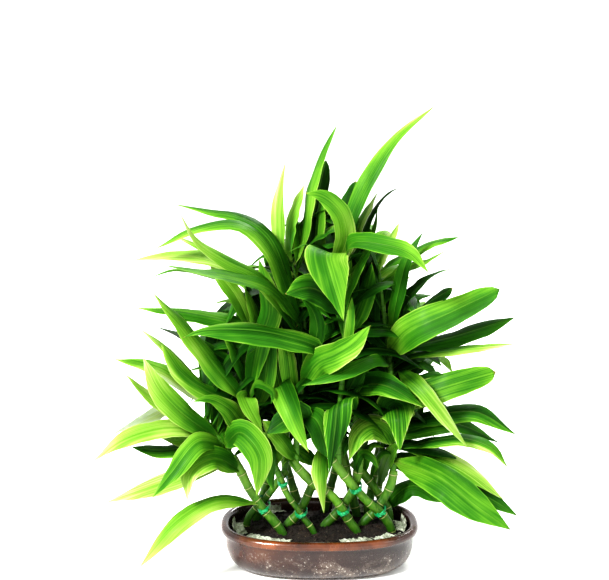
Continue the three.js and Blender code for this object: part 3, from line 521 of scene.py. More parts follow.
stalks = [
    traced_stalk(
        "stalk_left_low",
        [(283, 534, 21), (262, 507, 20), (250, 490, 20), (240, 470, 22), (232, 456, 23)],
        [(236, 464, 22), (226, 448, 26), (216, 434, 30), (204, 416, 34)],
        leaf(27, 20, (MID, BRIGHT), (222, 440, 36), (242, 433, 62), (260, 456, 76),
             (257, 497, 74), lime=0.15),
        leaf(23, 10, (MID, LIME), (215, 428, 40), (180, 412, 60), (158, 388, 70), (143, 357, 76), lime=0.05),
        leaf(20, 45, LIME, (196, 422, 38), (148, 393, 46), (125, 374, 50)),
        leaf(22, 30, MID, (218, 440, 40), (197, 442, 68), (172, 472, 84), (152, 498, 88)),
        leaf(24, 25, (DEEP, LIME), (230, 460, 34), (212, 458, 60), (190, 472, 76), (187, 501, 80)),
        leaf(22, 42, LIME, (215, 465, 34), (165, 482, 52), (105, 503, 64)),
        leaf(22, 45, LIME, (215, 433, 36), (175, 427, 52), (125, 438, 66), (92, 462, 74), lime=0.1),
        leaf(18, 50, LIME, (200, 437, 26), (180, 440, 32), (157, 437, 34)),
        leaf(21, 50, DEEP, (205, 443, 30), (165, 450, 42), (131, 447, 48)),
        leaf(22, 125, PALE, (200, 412, 28), (170, 407, 34), (140, 420, 42), (107, 437, 46)),
        leaf(20, 40, (BRIGHT, LIME), (248, 500, 32), (215, 502, 62), (180, 522, 84),
             (139, 568, 98), lime=0.0),
        leaf(20, 50, MID, (228, 437, 32), (220, 420, 44), (213, 402, 48)),
    ),
    traced_stalk(
        "stalk_left_mid",
        [(314, 533, 21), (303, 517, 19), (297, 508, 18), (287, 494, 17), (280, 476, 16)],
        [(282, 482, 16), (268, 450, 14), (256, 420, 12), (246, 392, 10), (247, 362, 5), (254, 330, 0)],
        leaf(20, 52, LIME, (200, 395, 22), (160, 370, 32), (114, 359, 38)),
        leaf(24, 35, (DEEP, BRIGHT), (230, 400, 28), (205, 390, 44), (180, 372, 54), (161, 344, 60)),
        leaf(21, 25, MID, (246, 430, 28), (228, 408, 42), (209, 399, 48), (192, 402, 50)),
        leaf(18, 38, (MID, BRIGHT), (246, 396, 24), (246, 400, 42), (263, 434, 54)),
        leaf(12, 60, MID, (246, 390, 24), (258, 384, 36), (273, 393, 44), (271, 404, 46)),
        leaf(25, 38, (MID, BRIGHT), (243, 398, 20), (218, 370, 34), (183, 325, 46), (152, 292, 52)),
        leaf(24, 30, (DEEP, MID), (245, 388, 14), (258, 345, 24), (270, 310, 26), (259, 259, 18)),
        leaf(18, 60, MID, (245, 375, 8), (235, 350, 16), (215, 322, 22)),
        leaf(17, 45, SHADE, (222, 358, 12), (182, 337, 26), (157, 327, 32)),
        leaf(20, 42, MID, (240, 325, 14), (185, 312, 28), (135, 308, 34)),
        leaf(18, 40, (MID, LIME), (252, 320, 6), (235, 295, 18), (208, 262, 24)),
        leaf(15, 58, MID, (256, 322, 5), (250, 300, 8), (243, 285, 10)),
        leaf(18, 60, SHADE, (263, 320, -6), (255, 300, -10), (245, 280, -14)),
        leaf(22, 40, DEEP, (257, 430, 26), (270, 455, 44), (273, 492, 50)),
        thick=6.6,
    ),
    traced_stalk(
        "stalk_middle_left",
        [(357, 532, 17), (350, 522, 17), (333, 497, 18), (313, 483, 20), (300, 470, 21), (291, 460, 22)],
        [(296, 466, 21), (297, 430, 16), (301, 390, 8), (306, 345, 0), (301, 300, -5), (292, 262, -8)],
        leaf(20, 50, DEEP, (305, 340, 6), (270, 238, 20), (240, 217, 18), (208, 211, 14), (173, 204, 12)),
        leaf(21, 44, (DEEP, BRIGHT), (305, 340, 12), (268, 248, 34), (240, 225, 40), (200, 228, 46),
             (155, 249, 50)),
        leaf(19, 55, (MID, LIME), (245, 275, 12), (215, 260, 22), (175, 255, 30), (129, 261, 36)),
        leaf(18, 48, (DEEP, LIME), (300, 335, 10), (262, 280, 28), (225, 260, 40), (196, 240, 46),
             (179, 212, 48)),
        leaf(13, 58, (MID, LIME), (300, 325, 6), (262, 286, 16), (230, 265, 24), (200, 247, 26),
             (169, 234, 26)),
        leaf(22, 50, (DEEP, MID), (300, 320, 10), (270, 290, 34), (230, 277, 50), (205, 273, 58),
             (163, 265, 64)),
        leaf(14, 70, MID, (230, 280, -2), (175, 270, 4), (152, 277, 5)),
        leaf(26, 40, (DEEP, MID), (318, 348, 26), (285, 336, 48), (250, 330, 60), (200, 331, 66),
             (182, 338, 66)),
        leaf(28, 10, (MID, BRIGHT), (300, 371, 20), (318, 362, 36), (336, 354, 48), (354, 343, 52),
             (371, 325, 50), lime=0.3),
        leaf(26, 20, DEEP, (299, 410, 22), (316, 420, 38), (330, 460, 36)),
        leaf(21, 35, MID, (303, 447, 24), (280, 438, 38), (262, 420, 42)),
        leaf(15, 40, (BRIGHT, LIME), (283, 262, -6), (277, 215, -2), (281, 182, -2),
             (286, 160, -4), end=TAILED),
        leaf(19, 50, (MID, LIME), (284, 250, -12), (288, 225, -16), (304, 185, -22)),
        leaf(16, 62, MID, (298, 260, -12), (297, 230, -22), (296, 196, -30)),
        leaf(20, 58, MID, (302, 250, -14), (310, 190, -18), (322, 155, -22), (337, 125, -24)),
        leaf(20, 52, SHADE, (308, 245, -26), (315, 210, -32), (326, 160, -36), end=BLUNT),
        leaf(18, 55, DEEP, (288, 385, -6), (280, 360, -10), (275, 335, -14)),
        leaf(25, 12, DEEP, (306, 416, 26), (298, 414, 36), (283, 422, 42), (266, 434, 44)),
    ),
    traced_stalk(
        "stalk_middle",
        [(391, 529, 11), (381, 513, 13), (369, 503, 14), (355, 488, 16), (345, 476, 17), (332, 459, 18)],
        [(338, 466, 17), (339, 430, 17), (342, 380, 18), (345, 333, 20), (347, 300, 18), (345, 256, 12)],
        leaf(40, 14, MID, (341, 263, 16), (332, 254, 36), (326, 256, 56), (331, 276, 70), (338, 300, 76),
             (344, 322, 78), end=TAILED, arching=True),
        leaf(28, 5, (SHADE, DEEP), (338, 306, 28), (310, 288, 60), (285, 294, 80), lime=0.5),
        leaf(22, 20, (BRIGHT, MID), (340, 262, 26), (346, 235, 40), (340, 212, 50), (322, 196, 56),
             (305, 193, 60), lime=0.2),
        leaf(18, 60, MID, (322, 250, -8), (321, 220, -14), (322, 190, -18)),
        leaf(20, 40, SHADE, (350, 240, 0), (349, 210, -6), (356, 181, -10), end=BLUNT),
        leaf(16, 30, (DEEP, LIME), (344, 262, 14), (352, 215, 12), (370, 176, 8), (395, 139, 2),
             (436, 105, -6), lime=0.2),
        leaf(15, 65, SHADE, (358, 250, 0), (370, 215, -6), (388, 193, -10), (399, 188, -12)),
        leaf(18, 50, LIME, (352, 250, 4), (363, 220, -2), (378, 192, -8)),
        leaf(22, 40, (DEEP, BRIGHT), (346, 260, 18), (353, 243, 38), (380, 244, 52), (410, 253, 60),
             (429, 273, 62), lime=0.1),
        leaf(16, 58, MID, (347, 300, 26), (355, 272, 32), (368, 250, 36), (380, 238, 38)),
        leaf(12, 65, MID, (362, 262, -4), (375, 225, -10), (378, 203, -14)),
        leaf(28, -35, DEEP, (348, 414, 18), (344, 401, 34), (338, 404, 46), (335, 428, 54),
             (329, 474, 54), lime=1.0, end=TAILED, arching=True),
        leaf(26, 15, DEEP, (338, 430, 26), (325, 416, 38), (312, 422, 42), (303, 442, 42)),
    ),
    traced_stalk(
        "stalk_right_top",
        [(362, 525, -1), (374, 512, -3), (383, 500, -5), (391, 484, -7), (394, 470, -8)],
        [(393, 476, -8), (394, 440, -10), (393, 400, -12), (389, 355, -12), (384, 315, -14), (378, 262, -16)],
        leaf(34, 12, MID, (398, 454, 14), (440, 478, 54), (475, 505, 76), (511, 530, 92), lime=0.0),
        leaf(38, 5, (SHADE, MID), (394, 416, 4), (396, 408, 22), (398, 418, 40),
             (400, 452, 46), lime=1.0, end=TAILED),
        leaf(26, 10, (MID, LIME), (385, 431, 8), (371, 425, 22), (357, 435, 34), (349, 461, 38), lime=0.8),
        leaf(18, 52, (DEEP, MID), (392, 356, 14), (372, 359, 44), (335, 375, 60), (301, 386, 58), lime=0.3),
        leaf(27, 15, (DEEP, MID), (402, 404, 8), (446, 387, 32), (496, 372, 42), lime=0.6, end=BLUNT),
        leaf(17, 48, DEEP, (402, 440, 6), (460, 438, 34), (492, 448, 46), (508, 468, 48), lime=0.9),
        leaf(16, 42, DEEP, (392, 335, 4), (399, 290, 14), (409, 255, 14), (423, 232, 10)),
        leaf(24, 30, SHADE, (372, 335, -18), (368, 290, -22), (375, 256, -26)),
        leaf(19, 60, SHADE, (390, 315, -4), (415, 290, 8), (440, 272, 14), (453, 269, 16)),
        leaf(22, 50, SHADE, (405, 325, 8), (430, 302, 18), (453, 288, 24), end=BLUNT),
        leaf(20, 60, MID, (400, 258, -10), (430, 243, -6), (459, 237, -2)),
        leaf(19, 62, MID, (405, 270, 0), (425, 262, 8), (447, 250, 12)),
        leaf(18, 62, LIME, (380, 258, -8), (388, 244, -10), (399, 223, -12)),
        leaf(31, 10, MID, (376, 345, 12), (410, 331, 30), (452, 312, 38),
             (500, 289, 46), lime=0.0, end=BLUNT),
        leaf(22, 50, SHADE, (400, 352, -4), (460, 335, 6), (516, 317, 8)),
        leaf(14, 45, (DEEP, LIME), (410, 357, 2), (460, 349, 20), (516, 344, 26)),
    ),
    traced_stalk(
        "stalk_right_mid",
        [(388, 511, -16), (376, 490, -18), (362, 472, -20), (352, 462, -21)],
        [(358, 468, -20), (366, 440, -22), (378, 408, -26), (394, 376, -28), (404, 345, -30)],
        leaf(20, 30, (MID, LIME), (396, 360, 16), (426, 394, 56), (448, 422, 68), (469, 449, 70)),
        leaf(22, 55, MID, (402, 362, -24), (420, 362, -14), (437, 375, -8)),
        leaf(24, 40, MID, (400, 330, -36), (430, 318, -46), (452, 300, -52)),
        leaf(22, 40, DEEP, (388, 380, -34), (350, 350, -46), (330, 318, -52)),
        leaf(22, 40, DEEP, (372, 420, -30), (340, 400, -44), (318, 370, -52)),
    ),
    traced_stalk(
        "stalk_right_low",
        [(381, 516, -28), (379, 490, -30), (382, 470, -30), (379, 457, -30)],
        [(380, 462, -30), (384, 440, -30), (394, 415, -32), (400, 398, -34)],
        leaf(21, 40, (SHADE, DEEP), (415, 420, -14), (475, 412, 6), (517, 435, 12)),
        leaf(21, 40, DEEP, (407, 432, -8), (455, 424, 18), (500, 443, 28)),
        leaf(20, 45, SHADE, (408, 443, -12), (440, 450, 4), (460, 460, 10)),
        leaf(20, 42, (MID, LIME), (402, 446, -12), (425, 452, 6), (465, 470, 30), (504, 500, 42)),
        leaf(28, 20, SHADE, (400, 462, -18), (440, 480, -6), (485, 496, 6), (518, 516, 10)),
        leaf(22, 25, DEEP, (386, 497, -30), (412, 486, -12), (447, 503, 4)),
        leaf(17, 60, DEEP, (408, 432, -26), (418, 415, -30), (424, 400, -34)),
        leaf(18, 45, MID, (384, 470, -22), (390, 455, -14), (400, 442, -8)),
        thick=6.6,
    ),
    traced_stalk(
        "stalk_middle_right",
        [(323, 528, 4), (335, 515, 3), (347, 500, 2), (354, 488, 1), (358, 470, 0), (360, 455, -2)],
        [(359, 460, -1), (357, 430, -2), (351, 395, -4), (344, 358, -10), (340, 320, -18), (336, 285, -26)],
        leaf(24, 15, (SHADE, MID), (349, 378, 10), (386, 386, 46), (425, 408, 60), lime=0.8),
        leaf(22, 45, MID, (320, 300, -34), (312, 262, -42), (300, 232, -48)),
        leaf(22, 45, MID, (344, 290, -30), (356, 252, -40), (362, 222, -46)),
    ),
    traced_stalk(
        "stalk_middle_low",
        [(286, 527, 4), (297, 515, 3), (305, 501, 2), (310, 490, 1), (316, 478, 0), (322, 466, -2)],
        [(319, 472, -1), (322, 440, -6), (320, 400, -14), (323, 360, -24), (320, 325, -32)],
        leaf(18, 25, (MID, LIME), (318, 440, 4), (321, 475, 26), (324, 514, 28), end=TAILED),
        leaf(18, 40, BRIGHT, (307, 455, 6), (295, 450, 14), (283, 460, 16)),
        leaf(22, 45, SHADE, (322, 330, -30), (300, 290, -36), (285, 250, -40)),
        leaf(22, 45, DEEP, (318, 395, -20), (290, 360, -26), (262, 348, -28)),
    ),
    traced_stalk(
        "stalk_left_back",
        [(248, 519, -3), (258, 506, -4), (265, 499, -5), (272, 490, -6), (279, 480, -7), (287, 470, -8)],
        [(284, 474, -8), (287, 450, -8), (286, 420, -10), (283, 388, -12), (278, 356, -16)],
        leaf(23, 10, MID, (283, 398, 8), (280, 386, 24), (286, 400, 44), (297, 428, 60),
             (309, 453, 68), lime=0.1),
        leaf(20, 40, MID, (282, 430, 2), (275, 450, 14), (270, 472, 18)),
        leaf(21, 45, DEEP, (280, 385, -22), (268, 355, -30), (250, 326, -36)),
        leaf(22, 45, DEEP, (284, 410, -26), (262, 400, -36), (238, 410, -42)),
        thick=7.4,
    ),
    back_stalk("stalk_back_1", (-64, 19), (22, 5), (-18, 30, 205), count=9, facing=150, spread=110),
    back_stalk("stalk_back_2", (-20, 38), (-22, 6), (8, 30, 270), count=10, facing=125, spread=130),
    back_stalk("stalk_back_3", (6, 41), (20, 5), (-14, 34, 315), count=11, facing=85, spread=150),
    back_stalk("stalk_back_4", (39, 26), (-17, 2), (34, 22, 285), count=10, facing=55, spread=130),
    back_stalk("stalk_back_5", (51, 39), (14, 4), (6, 26, 200), count=9, facing=25, spread=110),
]


def seen(pixel):
    """The point seen at a pixel, at its nearness."""
    x, y, near = pixel
    ray = LOOK * PHOTO_FOCAL + np.array([x - PHOTO_MIDDLE[0], 0, 0]) + LIFT * (PHOTO_MIDDLE[1] - y)
    return PHOTO_EYE + ray * ((-near / 1000 - PHOTO_EYE[1]) / ray[1])


def pixel_of(points):
    arm = np.atleast_2d(points) - PHOTO_EYE
    scale = PHOTO_FOCAL / (arm @ LOOK)
    return np.stack([PHOTO_MIDDLE[0] + arm[:, 0] * scale, PHOTO_MIDDLE[1] - (arm @ LIFT) * scale], axis=1)


def drawn(seed):
    """A repeatable draw between 0 and 1."""
    return (math.sin(seed * 12.9898) * 43758.5453) % 1


def lines_of(stalk):
    """The middle lines of a stalk's cane, from inside the soil, and of its shoot."""
    if "foot" in stalk:
        foot = np.array([*stalk["foot"], SOIL_LEVEL * 1000]) / 1000
        lean = np.array([*stalk["lean"], 0]) / 1000
        bend = foot + lean * 0.5 + (0, 0, CANE_RISE * 0.5)
        top = foot + lean + (0, 0, CANE_RISE)
        tip = top + np.array(stalk["rise"]) / 1000 - (0, 0, CANE_RISE)
        middle = (top + tip) / 2 + (lean[0] * 0.2, 0, 0)
        cane = [foot, bend, top]
        shoot = [top + (bend - top) * 0.2, middle, tip]
    else:
        cane = [seen(pixel) for pixel in stalk["cane"]]
        shoot = [seen(pixel) for pixel in stalk["shoot"]]
    buried = cane[0] - (cane[1] - cane[0]) * 0.16
    buried[2] = BURIED_TO
    return curve_through([buried, *cane]), curve_through(shoot)


def polyline_mesh(name, lines):
    """One mesh of loose polylines; each line is its places and a dict of a value for each place."""
    places = np.concatenate([line for line, _ in lines])
    edges = []
    first = 0
    for line, _ in lines:
        edges += [(first + i, first + i + 1) for i in range(len(line) - 1)]
        first += len(line)
    mesh = bpy.data.meshes.new(name)
    mesh.from_pydata(places.tolist(), edges, [])
    for key in lines[0][1]:
        values = np.concatenate([np.asarray(facts[key], float) for _, facts in lines])
        if values.ndim == 2:
            mesh.attributes.new(key, "FLOAT_VECTOR", "POINT").data.foreach_set("vector", values.ravel())
        else:
            mesh.attributes.new(key, "FLOAT", "POINT").data.foreach_set("value", values)
    return placed(name, mesh)


def from_joint(run, spacing):
    """How far the places along a line are from their nearest joint."""
    return np.abs((run / spacing + 0.5) % 1 - 0.5) * spacing


def carried(key, output="Fac"):
    """What the mesh carries as an attribute, in a material."""
    return add("ShaderNodeAttribute", attribute_name=key).outputs[output]


cane_skin, tree, shader = finish_named("cane_skin")
joint, young = carried("joint"), carried("young")
place = object_place()
x, y, z = parts(place)
stretch = add("ShaderNodeMapping", {"Vector": place, "Scale": (1, 1, 0.22)}).outputs[0]
streaks = noise_at(stretch, 420, 4, 0.6)
patches = noise_at(place, 70, 4, 0.5)
colour = ramp(
    patches, (0.3, (0.014, 0.055, 0.003)), (0.5, (0.038, 0.125, 0.007)), (0.72, (0.1, 0.22, 0.018)),
)
for share, shade in (
    (ease(streaks, 0.35, 0.75, 0, 0.45), (0.18, 0.28, 0.04)),
    (ease(z, 0.075, 0.042, 0, 0.55), (0.014, 0.07, 0.004)),  # painted shade: darker towards the soil, where the leaves and the dish shade the canes
    (ease(z, 0.07, 0.11, 0, 0.4), (0.2, 0.32, 0.06)),  # paler above the dish
    (times(young, 0.7), (0.035, 0.15, 0.007)),
    (ease(joint, 0.1, 0.3, 0, 0.5), (0.02, 0.06, 0.005)),
    (ease(joint, 0.45, 0.9, 0, 0.85), (0.38, 0.43, 0.17)),
    (times(ease(joint, 0.75, 1.0), ease(streaks, 0.4, 0.6, 0.4, 0.9)), (0.2, 0.16, 0.07)),
):
    colour = tint(share, colour, shade)
fill(shader, {
    "Base Color": colour, "Roughness": ease(streaks, 0.3, 0.7, 0.36, 0.52), "Specular IOR Level": 0.25,
})
relief(plus(streaks, times(joint, -1.5)), 0.0004, 0.7)

tree, given = node_tree("swept_rod", sides=14)
rails = add("GeometryNodeMeshToCurve", {"Mesh": given["Geometry"]})
thick = add("GeometryNodeInputNamedAttribute", {"Name": "thick"}, data_type="FLOAT")
ring = add("GeometryNodeCurvePrimitiveCircle", {"Resolution": given["sides"], "Radius": 1.0})
rods = add("GeometryNodeCurveToMesh", {
    "Curve": rails, "Profile Curve": ring, "Scale": thick, "Fill Caps": True,
})
end_tree(add("GeometryNodeSetShadeSmooth", {"Geometry": rods, "Shade Smooth": True}), cane_skin)
swept_rod = tree

for stalk in stalks:
    cane, shoot = stalk["lines"] = lines_of(stalk)
    shares = np.linspace(0, 1, CANE_STATIONS)
    line = at_shares(cane, shares)
    run = run_along(line)
    off = from_joint(run, 0.0145 + 0.005 * drawn(run[-1] * 1000))
    joint = np.exp(-(off / 0.0008) ** 2)
    swell = 1 + 0.07 * np.exp(-(off / 0.0016) ** 2) - 0.03 * np.exp(-((off - 0.005) / 0.003) ** 2)
    rings = np.interp(shares, np.linspace(0, 1, len(CANE_RINGS)), CANE_RINGS)
    thick = stalk["thick"] / 2000 * rings * swell * CANE_TRIM
    thick[-1] *= 0.6
    lines = [(line, {"thick": thick, "joint": joint, "young": shares * 0.4})]
    shares = np.linspace(0, 1, SHOOT_STATIONS)
    line = at_shares(shoot, shares)
    joint = 0.45 * np.exp(-(from_joint(run_along(line), SHOOT_JOINTS) / 0.0006) ** 2)
    rings = np.interp(shares, np.linspace(0, 1, len(SHOOT_RINGS)), SHOOT_RINGS)
    thick = SHOOT_THICK / 2000 * rings * (1 + 0.05 * joint)
    thick[-SHOOT_END:] *= np.linspace(0.95, 0.25, SHOOT_END)
    lines.append((line, {"thick": thick, "joint": joint, "young": np.ones(SHOOT_STATIONS)}))
    name = stalk["name"].replace("stalk", "cane")
    stem = grown(name, polyline_mesh(name, lines), swept_rod)
    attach(stem, "root")
    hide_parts(stalk["name"])

# ---- Leaves ----
# Long pointed blades sheathe the shoot, rise, arch and hang by their own weight; the upper side is glossy.
# Fine veins run along them, many have lime margins, and the light shines through. They grew with the stalk.
ROOT_LOW = 16  # pixels below its first traced place that a leaf may leave the shoot
STEP_ASIDE = 7  # millimetres nearer or farther from one try to the next
TRIES = 21
NEAR_ENOUGH = 0.0015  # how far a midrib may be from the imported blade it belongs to
BLADE_STATIONS = 27
BLADE_WIDER = 1.06  # against the width in the table
SHORTER = 0.86  # a leaf that leaves the bush is cut to this share of its length, and again
BUSH_OUTLINE = [
    (300, 205), (345, 190), (392, 236), (430, 290), (456, 350), (462, 405), (452, 462), (420, 492),
    (350, 490), (290, 490), (235, 480), (196, 452), (168, 405), (176, 355), (205, 310), (236, 262),
    (266, 232),
]
BUSH_MIDDLE = np.array([320.0, 370.0])


def unit(vectors):
    return vectors / np.linalg.norm(vectors, axis=-1, keepdims=True)


def try_step(n):
    """The tries go 0, 1, -1, 2, -2 and so on."""
    return (n + 1) / 2 if n % 2 else -n / 2


def inside_bush(point, margin=0):
    """Whether a point shows inside the bush's outline; the margin is a share of its way from the middle."""
    x, y = BUSH_MIDDLE + (pixel_of(point)[0] - BUSH_MIDDLE) * (1 + margin)
    inside = False
    for (ax, ay), (bx, by) in zip(BUSH_OUTLINE, BUSH_OUTLINE[1:] + BUSH_OUTLINE[:1]):
        if (ay > y) != (by > y) and x < ax + (bx - ax) * (y - ay) / (by - ay):
            inside = not inside
    return inside


def traced_midrib(stalk, plan, n):
    """A leaf traced in the photograph: a try slides it along the lines of sight."""
    cane, shoot = stalk["lines"]
    way = plan["way"]
    first = np.array(way[0][:2], float)
    wanted = first + unit(first - way[1][:2]) * ROOT_LOW * 0.4 + (0, ROOT_LOW * 0.6)
    axis = np.vstack([at_shares(shoot, np.linspace(0, 1, 41)), at_shares(cane, np.linspace(0, 1, 21))])
    root = axis[np.argmin(np.linalg.norm(pixel_of(axis) - wanted, axis=1))]
    slide = try_step(n) * STEP_ASIDE
    last = len(way) - 1
    places = [seen((x, y, near + slide * (i + 0.35) / last)) for i, (x, y, near) in enumerate(way)]
    if np.linalg.norm(pixel_of(root)[0] - first) < ROOT_LOW:
        places = places[1:]
    return curve_through([root, *places])


def arched_places(root, facing, climb, droop, length, least, fits):
    """Places along a leaf that rises and arches over, shortened until they fit, and its length."""
    while length > least:
        places = [root]
        for i in range(1, 5):
            slope = climb - droop * (i / 4) ** 1.4
            flat = math.cos(slope)
            step = np.array([math.cos(facing) * flat, math.sin(facing) * flat, math.sin(slope)])
            places.append(places[-1] + step * length / 4)
        if all(fits(place) for place in places[2:]):
            return places, length
        length *= SHORTER
    return None, 0


def ruled_midrib(stalk, plan, n):
    """A leaf at the back, which stays in the bush: a try turns it."""
    index, seed = plan["index"], plan["seed"]
    height = (index + 0.6) / stalk["count"]
    root = at_shares(stalk["lines"][1], [0.08 + 0.86 * height])[0]
    share = (index * 0.618) % 1 - 0.5
    facing = math.radians(stalk["facing"] + stalk["spread"] * share + try_step(n) * 9)
    climb = math.radians(28 + 44 * height + 16 * drawn(seed))
    droop = math.radians(62 + 40 * drawn(seed + 0.3))
    length = 0.118 + 0.046 * drawn(seed + 0.6)
    places, _ = arched_places(root, facing, climb, droop, length, 0.04, inside_bush)
    return places and curve_through(places)


def settled_midrib(stalk, plan, solid):
    """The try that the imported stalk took: its rib runs inside the solid blade. None where there is none."""
    best = (NEAR_ENOUGH, None)
    for n in range(TRIES):
        midrib = (traced_midrib if "way" in plan else ruled_midrib)(stalk, plan, n)
        if midrib is None:
            continue
        stations = at_shares(midrib, [0.23, 0.5, 0.78, 1])
        off = max(solid.find_nearest(Vector(place))[3] for place in stations)
        if off < best[0]:
            best = (off, midrib)
    return best[1]


leaf_skin, tree, shader = finish_named("leaf_blade")
blade = carried("blade", "Vector")
draw = parts(blade)[2]
tone, margin, across, along, under = (carried(key) for key in ("tone", "margin", "across", "along", "under"))
side = sums("ABSOLUTE", across)


def striped(scale, detail, warp=0.0):
    """Noise drawn out along the blade: a scale across it, along it and from leaf to leaf."""
    stretched = add("ShaderNodeMapping", {"Vector": blade, "Scale": scale}).outputs[0]
    return noise_at(stretched, 1.0, detail, 0.55, warp)


veins = striped((1250, 6, 7), 2)
bands = striped((190, 4, 7), 3, 0.2)
blotches = striped((50, 14, 7), 2)
uneven = plus(ease(bands, 0.2, 0.8, -0.06, 0.06), ease(blotches, 0.3, 0.7, -0.15, 0.15))
lopsided = times(across, ease(draw, 0, 10, 0.3, -0.3))
outwards = plus(side, plus(uneven, lopsided))
light = tone
for more in (
    ease(bands, 0.32, 0.68, -0.02, 0.02),
    ease(blotches, 0.32, 0.68, -0.09, 0.09),
    ease(veins, 0.32, 0.68, -0.055, 0.055),
    times(ease(veins, 0.32, 0.68, -0.09, 0.09), margin),  # veins are strongest where margins are lime
    times(ease(across, -0.12, 0.12, -1, 1), ease(draw, 0, 10, 0.045, -0.045)),  # painted shade: one half of the blade is darker than the other
    times(ease(outwards, 0.65, 1.05), times(margin, 0.22)),
    times(ease(outwards, 0.55, 0.1), times(margin, -0.1)),
    ease(along, 0.16, 0.0, 0, 0.2),
    ease(along, 0.86, 1.0, 0, 0.1),
    times(under, 0.08),
    ease(side, 0.91, 0.97, 0, 0.15),
):
    light = plus(light, more)
colour = ramp(
    light, (0.0, (0.003, 0.02, 0.001)), (0.2, (0.01, 0.064, 0.004)), (0.4, (0.036, 0.155, 0.01)),
    (0.58, (0.135, 0.31, 0.026)), (0.76, (0.3, 0.44, 0.09)), (0.9, (0.43, 0.52, 0.24)),
    (1.0, (0.5, 0.57, 0.42)),
)
rib = ease(side, 0.075, 0.02)
colour = tint(times(rib, 0.16), colour, (0.3, 0.55, 0.08))
dry = times(ease(along, 0.975, 1.0), ease(draw, 4, 7))
colour = tint(dry, colour, (0.45, 0.3, 0.1))
fill(shader, {
    "Base Color": colour, "Roughness": ease(veins, 0.3, 0.7, 0.42, 0.58), "Specular IOR Level": 0.09,
    "Coat Weight": 0.015, "Coat Roughness": 0.2,
})
relief(plus(veins, times(rib, -0.9)), 0.0006, 0.75)
through = add("ShaderNodeBsdfTranslucent", {"Color": tint(0.5, colour, (0.42, 0.6, 0.08))})
mixed = add("ShaderNodeMixShader", {0: 0.22, 1: shader, 2: through})
fill(tree.nodes["Material Output"], {"Surface": mixed})

tree, given = node_tree("leaf_blades", strips=11, thickness=0.0007, ripple=0.2)


def named(name, kind="FLOAT"):
    return add("GeometryNodeInputNamedAttribute", {"Name": name}, data_type=kind).outputs[0]


def stored(geometry, name, value, kind, domain):
    takes = {"Geometry": geometry, "Name": name, "Value": value}
    return add("GeometryNodeStoreNamedAttribute", takes, data_type=kind, domain=domain)


def smoothed(geometry, smooth, **settings):
    return add("GeometryNodeSetShadeSmooth", {"Geometry": geometry, **smooth}, **settings)


ribs = add("GeometryNodeMeshToCurve", {"Mesh": given["Geometry"]})
cross = add("GeometryNodeCurvePrimitiveLine", {"Start": (-1, 0, 0), "End": (1, 0, 0)})
cross = add("GeometryNodeResampleCurve", {"Curve": cross, "Count": given["strips"]})
here = parts(add("GeometryNodeInputPosition"))[0]
cross = stored(cross, "across", here, "FLOAT", "POINT")
sheet = add("GeometryNodeCurveToMesh", {"Curve": ribs, "Profile Curve": cross})
across, along, half, fold = named("across"), named("along"), named("half"), named("fold")
face = named("face", "FLOAT_VECTOR")
side = sums("ABSOLUTE", across)
squared = times(side, side)
spread = times(across, half)
wave_place = add("ShaderNodeCombineXYZ", {
    0: times(along, 5.0), 1: sums("SIGN", across), 2: times(named("seed"), 9.0),
})
wave = add("ShaderNodeTexNoise", {"Vector": wave_place, "Scale": 1.0, "Detail": 1.0}).outputs["Fac"]
wave = times(times(minus(wave, 0.5), times(given["ripple"], 4.0)), squared)
trough = times(fold, minus(side, times(squared, 0.22)))
arched = minus(trough, times(named("arched"), squared))
lift = times(half, plus(arched, wave))
spot = vectors("ADD", named("rib", "FLOAT_VECTOR"), vectors("SCALE", named("side", "FLOAT_VECTOR"), spread))
spot = vectors("ADD", spot, vectors("SCALE", face, lift))
lens_shape = sums("SQRT", sums("MAXIMUM", minus(1.0, squared), 0.0))
ends = sums("MINIMUM", times(times(along, 30.0), minus(1.0, along)), 1.0)
depth = times(times(lens_shape, ends), times(given["thickness"], 0.5))
both = add("GeometryNodeJoinGeometry")
for down, sign in ((0.0, 1.0), (1.0, -1.0)):
    offset = vectors("SCALE", face, times(depth, sign))
    skin = add("GeometryNodeSetPosition", {"Geometry": sheet, "Position": vectors("ADD", spot, offset)})
    takes = {0: add("GeometryNodeInputNormal"), 1: face}
    facing = add("ShaderNodeVectorMath", takes, operation="DOT_PRODUCT").outputs["Value"]
    wrong = sums("LESS_THAN", times(facing, sign), 0.0)
    skin = add("GeometryNodeFlipFaces", {"Mesh": skin, "Selection": wrong})
    fill(both, {0: stored(skin, "under", down, "FLOAT", "FACE")})
whole = add("GeometryNodeMergeByDistance", {"Geometry": both, "Distance": 0.000004})
whole = smoothed(whole, {"Shade Smooth": True})
edge = sums("GREATER_THAN", side, 0.999)
whole = smoothed(whole, {"Selection": edge, "Shade Smooth": False}, domain="EDGE")
flat = add("ShaderNodeCombineXYZ", {0: spread, 1: times(along, named("length")), 2: named("seed")})
end_tree(stored(whole, "blade", flat, "FLOAT_VECTOR", "POINT"), leaf_skin)
leaf_blades = tree


